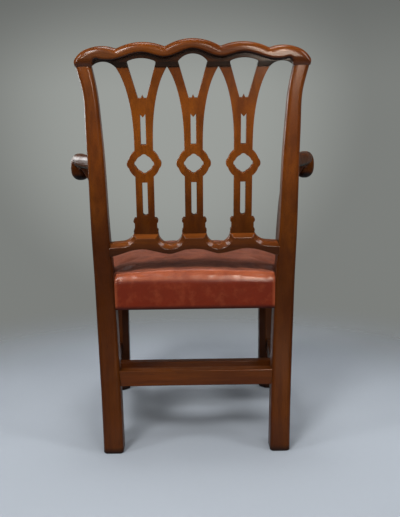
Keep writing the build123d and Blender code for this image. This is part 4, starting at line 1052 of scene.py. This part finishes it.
def trim_sheet(cloth, nodes, gap):
    """Cuts a sheet back from the nodes that stand in its way."""
    clear = nearness(nodes)
    boxes = [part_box(node) for node in nodes]

    def blocked(place):
        """True for a point inside a node's box or too close to a node."""
        for low, high in boxes:
            if low[0] < place.x < high[0] and low[1] < place.y < high[1]:
                return True
        return clear(place) < gap

    edit_some(cloth, "FACE", lambda face: any(blocked(point.co) for point in face.verts))
    bpy.ops.mesh.delete(type="FACE")
    bpy.ops.object.mode_set(mode="OBJECT")


def make_hessian():
    """One piece of base cloth, a little uneven, over the straps under it."""
    low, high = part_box("hessian_base")
    size = (high[0] - low[0], high[1] - low[1])
    front, rear = size[0] / 2, rear_half("hessian_base", high[1])
    cloth = new_grid("hessian_cloth", HESSIAN_CELLS)
    for point in cloth.data.vertices:
        share = point.co.y + 0.5
        point.co.x *= 2 * (front + (rear - front) * share)
        point.co.y = low[1] + share * size[1]
        point.co.z = (low[2] + high[2]) / 2 + HESSIAN_SAG * noise.noise(point.co * 60)
    trim_sheet(cloth, (*POSTS, *FRONT_LEGS, *SUPPORTS), HESSIAN_GAP)
    thicken(cloth, HESSIAN_THICKNESS)
    soften(cloth, CLOTH_SHADING)
    finish_piece(cloth, "hessian", coarse_hessian("hessian_weave"), "hessian_base")


def make_strap(name, line, height, first=0):
    """One strap of webbing: lengthwise and straight, or crosswise and woven over and under.

    A crosswise strap goes over the first strap that it crosses at 1, and under it at -1.
    """
    offset, start, end = line
    length = end - start
    strap = new_grid(name, STRAP_CELLS)
    strap.data.uv_layers[0].name = "strap"
    for point in strap.data.vertices:
        across = point.co.x * STRAP_WIDTH
        along = start + (point.co.y + 0.5) * length
        if not first:
            point.co = (offset + across, along, height)
            continue
        rise = 0.0
        for crossing, way in ((-STRAP_SPACING, first), (0.0, -first), (STRAP_SPACING, first)):
            near = abs(along - crossing) / (STRAP_SPACING / 2)
            rise += way * STRAP_LIFT * swell(max(near, STRAP_FLAT), STRAP_FLAT, 1 - STRAP_FLAT)
        point.co = (along, offset - across, height + rise)
    thicken(strap, STRAP_THICKNESS)
    soften(strap, CLOTH_SHADING)
    node = "crosswise_webbing" if first else "lengthwise_webbing"
    finish_piece(strap, "webbing", striped_webbing(f"{name}_weave", STRAP_WIDTH, length), node)


# Stage


def make_floor(stage):
    """A round floor that fades out into the backdrop."""
    choose()
    bpy.ops.mesh.primitive_circle_add(
        vertices=96, radius=FLOOR_RADIUS, fill_type="NGON", location=(0.0, 0.0, 0.0)
    )
    floor = bpy.context.object
    floor.name = "floor"
    make = Finish("paper")
    place = make.place()
    tone = make.ramp(make.noise(place, 1.2, 2.0), 0.3, 0.7)
    colour = make.mix(tone, stage.floor, toned(stage.floor, 1.04))
    paper = make.done({"Base Color": colour, "Roughness": 0.85, "Specular IOR Level": 0.2})
    reach = make.add("ShaderNodeVectorMath", operation="LENGTH")
    make.join(place, reach.inputs[0])
    clear = make.add("ShaderNodeBsdfTransparent").outputs["BSDF"]
    fade = make.add("ShaderNodeMixShader")
    share = make.ramp(reach.outputs["Value"], *FLOOR_FADE)
    make.put(fade, {0: share, 1: make.shader.outputs["BSDF"], 2: clear})
    make.join(fade.outputs["Shader"], make.output.inputs["Surface"])
    floor.data.materials.append(paper)


def make_room(scene, stage):
    """A grey backdrop with a painted pool of light on it, and dim even light from all round."""
    world = bpy.data.worlds.new("room")
    scene.world = world
    world.use_nodes = True
    make = Nodes(world.node_tree)
    toward = make.add("ShaderNodeTexCoord").outputs["Generated"]
    _, along, up = make.split(toward)
    wall = make.mix(make.ramp(along, 0.1, 0.9), stage.backdrop, toned(stage.backdrop, 0.6))
    pool = make.ramp(make.dot(toward, POOL_WAY), *POOL_EDGE)
    wall = make.mix(pool, wall, toned(stage.backdrop, 1.62))
    wall = make.mix(make.ramp(up, 0.04, 0.2, 0.0, 0.75), wall, toned(stage.backdrop, 0.55))
    path = make.add("ShaderNodeLightPath").outputs
    seen = make.math("MAXIMUM", path["Is Glossy Ray"], path["Is Transmission Ray"])
    seen = make.math("MAXIMUM", path["Is Camera Ray"], seen)
    colour = make.mix(seen, toned(SKY_TINT, stage.sky), wall)
    make.put(world.node_tree.nodes["Background"], {"Color": colour, "Strength": 1.0})


def make_lamp(name, place, target, size, power, spread=180, tint=WHITE):
    """A soft rectangular lamp that faces a point."""
    lamp = bpy.data.lights.new(name, "AREA")
    lamp.shape = "RECTANGLE"
    lamp.size, lamp.size_y = size
    lamp.energy = power
    lamp.color = tint
    lamp.spread = math.radians(spread)
    thing = bpy.data.objects.new(name, lamp)
    thing.location = place
    thing.rotation_euler = (Vector(target) - Vector(place)).to_track_quat("-Z", "Y").to_euler()
    thing.visible_camera = False
    thing.visible_diffuse = name not in CARDS
    thing.visible_glossy = name not in FILLS
    bpy.context.scene.collection.objects.link(thing)


def make_camera(scene, stage):
    """The camera that sees the chair from behind."""
    lens = bpy.data.cameras.new("camera")
    lens.lens = stage.lens
    lens.sensor_width = SENSOR_WIDTH
    camera = bpy.data.objects.new("camera", lens)
    camera.location = CAMERA_PLACE
    camera.rotation_euler = [math.radians(turn) for turn in CAMERA_TURN]
    scene.collection.objects.link(camera)
    scene.camera = camera


# Operators


class ARMCHAIR_OT_back(bpy.types.Operator):
    """Make the crest rail, the splats and the lower back rail"""

    bl_idname = "armchair.back"
    bl_label = "Make Back"
    bl_options = {"REGISTER", "UNDO"}

    def execute(self, context):
        ease = context.scene.armchair_wood.ease
        # The crest rail gets painted shadow under its roll
        polish("crest_rail", mahogany("mahogany_crest", GRAIN_ACROSS, 0.3, set_back=True), ease)
        for place, node in enumerate(SPLATS):
            shift = 0.9 + 0.4 * place
            # The splats get painted shade toward their feet
            material = mahogany(f"mahogany_{node}", GRAIN_RAKED, shift, gloss=0.2, fade=SPLAT_FADE)
            polish(node, material, 0.7 * ease)
        # The lower rail gets a lighter tone, painted light on its upward chamfers and painted shade
        # along its foot
        looks = {"tone": 1.2, "wear": 2.0, "gloss": 1.7, "fade": LOWER_RAIL_FADE, "bevel": 1.7}
        polish("lower_back_rail", mahogany("mahogany_lower_rail", GRAIN_ACROSS, 2.2, **looks), ease)
        return {"FINISHED"}


class ARMCHAIR_OT_frame(bpy.types.Operator):
    """Make the posts, the front legs and the stretchers"""

    bl_idname = "armchair.frame"
    bl_label = "Make Frame"
    bl_options = {"REGISTER", "UNDO"}

    def execute(self, context):
        ease = context.scene.armchair_wood.ease
        # Each group: its nodes, grain, tone and wear; the tone paints the pieces darker or lighter,
        # as painted shade and light
        groups = (
            (POSTS, GRAIN_RAKED, 1.0, 1.0),
            (FRONT_LEGS, GRAIN_UP, 0.65, 1.0),
            (SIDE_STRETCHERS, GRAIN_LENGTHWISE, 0.8, 1.0),
            (CROSS_STRETCHERS, GRAIN_ACROSS, 1.25, 3.0),
        )
        shift = 3.0
        for nodes, grain, tone, wear in groups:
            for node in nodes:
                shift += 0.6
                polish(node, mahogany(f"mahogany_{node}", grain, shift, tone, wear), ease)
        return {"FINISHED"}


class ARMCHAIR_OT_arms(bpy.types.Operator):
    """Make the arms and their supports"""

    bl_idname = "armchair.arms"
    bl_label = "Make Arms"
    bl_options = {"REGISTER", "UNDO"}

    def execute(self, context):
        ease = context.scene.armchair_wood.ease
        for place, node in enumerate(ARMS):
            name = f"mahogany_{node}"
            # A low tone paints the arms in shade
            material = mahogany(name, GRAIN_LENGTHWISE, 8.0 + place, tone=0.45, gloss=0.35)
            polish(node, material, ease)
        for place, node in enumerate(SUPPORTS):
            material = mahogany(f"mahogany_{node}", GRAIN_UP, 11.0 + place, tone=0.7)
            polish(node, material, 3 * ease, segments=4)
        return {"FINISHED"}


class ARMCHAIR_OT_seat_frame(bpy.types.Operator):
    """Finish the seat rails, the corner blocks, the tacks and the screws"""

    bl_idname = "armchair.seat_frame"
    bl_label = "Finish Seat Frame"
    bl_options = {"REGISTER", "UNDO"}

    def execute(self, context):
        finish_nodes(CROSS_RAILS, bare_beech("beech_across", GRAIN_ACROSS))
        finish_nodes(SIDE_RAILS, bare_beech("beech_lengthwise", GRAIN_LENGTHWISE))
        finish_nodes(CORNER_BLOCKS, bare_beech("beech_blocks", GRAIN_ACROSS))
        iron = dull_metal("tack_iron", IRON, IRON_RUST, 0.42)
        finish_nodes(("cover_tacks", "webbing_tacks"), iron)
        steel = dull_metal("screw_steel", STEEL, STEEL_RUST, 0.36)
        finish_nodes(("corner_block_screws", "arm_support_screws"), steel)
        return {"FINISHED"}


class ARMCHAIR_OT_base(bpy.types.Operator):
    """Make the hessian and the webbing under the stuffing"""

    bl_idname = "armchair.base"
    bl_label = "Make Base Cloths"
    bl_options = {"REGISTER", "UNDO"}

    def execute(self, context):
        make_hessian()
        low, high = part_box("lengthwise_webbing")
        for place in range(3):
            line = ((place - 1) * STRAP_SPACING, low[1], high[1])
            make_strap(f"lengthwise_strap_{place + 1}", line, (low[2] + high[2]) / 2)
        low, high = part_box("crosswise_webbing")
        middle = (low[1] + high[1]) / 2
        for place, first in enumerate((1, -1, 1)):
            line = (middle + (place - 1) * STRAP_SPACING, low[0], high[0])
            make_strap(f"crosswise_strap_{place + 1}", line, (low[2] + high[2]) / 2, first)
        return {"FINISHED"}


class ARMCHAIR_OT_stuffing(bpy.types.Operator):
    """Make the hair stuffing under the leather"""

    bl_idname = "armchair.stuffing"
    bl_label = "Make Stuffing"
    bl_options = {"REGISTER", "UNDO"}

    def execute(self, context):
        pad = closed_form("hair_stuffing", "hair_pad")
        for point, normal in [(point, point.normal.copy()) for point in pad.data.vertices]:
            lump = noise.noise(point.co * 70) + 0.5 * noise.noise(point.co * 190)
            point.co += normal * ((-1.7 + 0.8 * lump) * MM)
        for node in (*POSTS, *SUPPORTS):
            cut_out(pad, node, HAIR_GAP)
        soften(pad, CLOTH_SHADING)
        finish_piece(pad, "hair", curled_hair("curled_hair"), "hair_stuffing")
        return {"FINISHED"}


class ARMCHAIR_OT_leather(bpy.types.Operator):
    """Stretch the leather over the stuffing and the seat rails"""

    bl_idname = "armchair.leather"
    bl_label = "Make Leather Cover"
    bl_options = {"REGISTER", "UNDO"}

    def execute(self, context):
        low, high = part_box("leather_cover")
        cover = closed_form("leather_cover", "leather_seat")
        inflate(cover, lambda point: point.z < low[2] + HELD_HEIGHT)
        subdivide(cover)
        pull_leather(cover, low, high)
        skin = bpy.data.materials.new("cover_skin")
        walls = bpy.data.materials.new("cut_walls")
        cover.data.materials.append(skin)
        for node in (*POSTS, *SUPPORTS):
            cut_out(cover, node, LEATHER_GAP, walls)
        open_cover(cover, walls, low)
        turn_under(cover, low, high)
        thicken(cover, context.scene.armchair_seat.leather_thickness, -1.0)
        soften(cover, LEATHER_SHADING)
        points = [point.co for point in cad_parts["leather_cover"].data.vertices]
        side = max(abs(point.x) for point in points if point.y > high[1] - 3 * MM)
        leather = worn_leather("oxblood_leather", low[2], high[2], high[1], side)
        finish_piece(cover, "oxblood_leather", leather, "leather_cover")
        for material in (skin, walls):
            bpy.data.materials.remove(material)
        return {"FINISHED"}


class ARMCHAIR_OT_stage(bpy.types.Operator):
    """Set the floor, the light and the camera"""

    bl_idname = "armchair.stage"
    bl_label = "Set Stage"
    bl_options = {"REGISTER", "UNDO"}

    def execute(self, context):
        scene = context.scene
        stage = scene.armchair_stage
        scene.view_settings.view_transform = "Standard"
        make_floor(stage)
        make_room(scene, stage)
        make_lamp("key_light", *KEY_LIGHT, stage.key_power)
        for name, (place, target, size, share, spread, tint) in LAMPS.items():
            make_lamp(name, place, target, size, share * stage.side_power, spread, tint)
        make_camera(scene, stage)
        return {"FINISHED"}


# Panel and registration


class ARMCHAIR_PT_panel(bpy.types.Panel):
    """Lists the steps and the settings of the armchair"""

    bl_idname = "ARMCHAIR_PT_panel"
    bl_label = "Armchair"
    bl_space_type = "VIEW_3D"
    bl_region_type = "UI"
    bl_category = "Armchair"

    def draw(self, context):
        for step in STEPS:
            self.layout.operator(step.bl_idname)
        scene = context.scene
        for group in (scene.armchair_wood, scene.armchair_seat, scene.armchair_stage):
            box = self.layout.box()
            for name in group.__annotations__:
                box.prop(group, name)


GROUPS = (ArmchairWood, ArmchairSeat, ArmchairStage)
STEPS = (
    ARMCHAIR_OT_back,
    ARMCHAIR_OT_frame,
    ARMCHAIR_OT_arms,
    ARMCHAIR_OT_seat_frame,
    ARMCHAIR_OT_base,
    ARMCHAIR_OT_stuffing,
    ARMCHAIR_OT_leather,
    ARMCHAIR_OT_stage,
)


def register():
    for group in (*GROUPS, *STEPS, ARMCHAIR_PT_panel):
        bpy.utils.register_class(group)
    bpy.types.Scene.armchair_wood = PointerProperty(type=ArmchairWood)
    bpy.types.Scene.armchair_seat = PointerProperty(type=ArmchairSeat)
    bpy.types.Scene.armchair_stage = PointerProperty(type=ArmchairStage)


def unregister():
    del bpy.types.Scene.armchair_stage
    del bpy.types.Scene.armchair_seat
    del bpy.types.Scene.armchair_wood
    for group in reversed((*GROUPS, *STEPS, ARMCHAIR_PT_panel)):
        bpy.utils.unregister_class(group)


def main():
    register()
    bpy.ops.armchair.back()
    bpy.ops.armchair.frame()
    bpy.ops.armchair.arms()
    bpy.ops.armchair.seat_frame()
    bpy.ops.armchair.base()
    bpy.ops.armchair.stuffing()
    bpy.ops.armchair.leather()
    bpy.ops.armchair.stage()


if __name__ == "__main__":
    main()
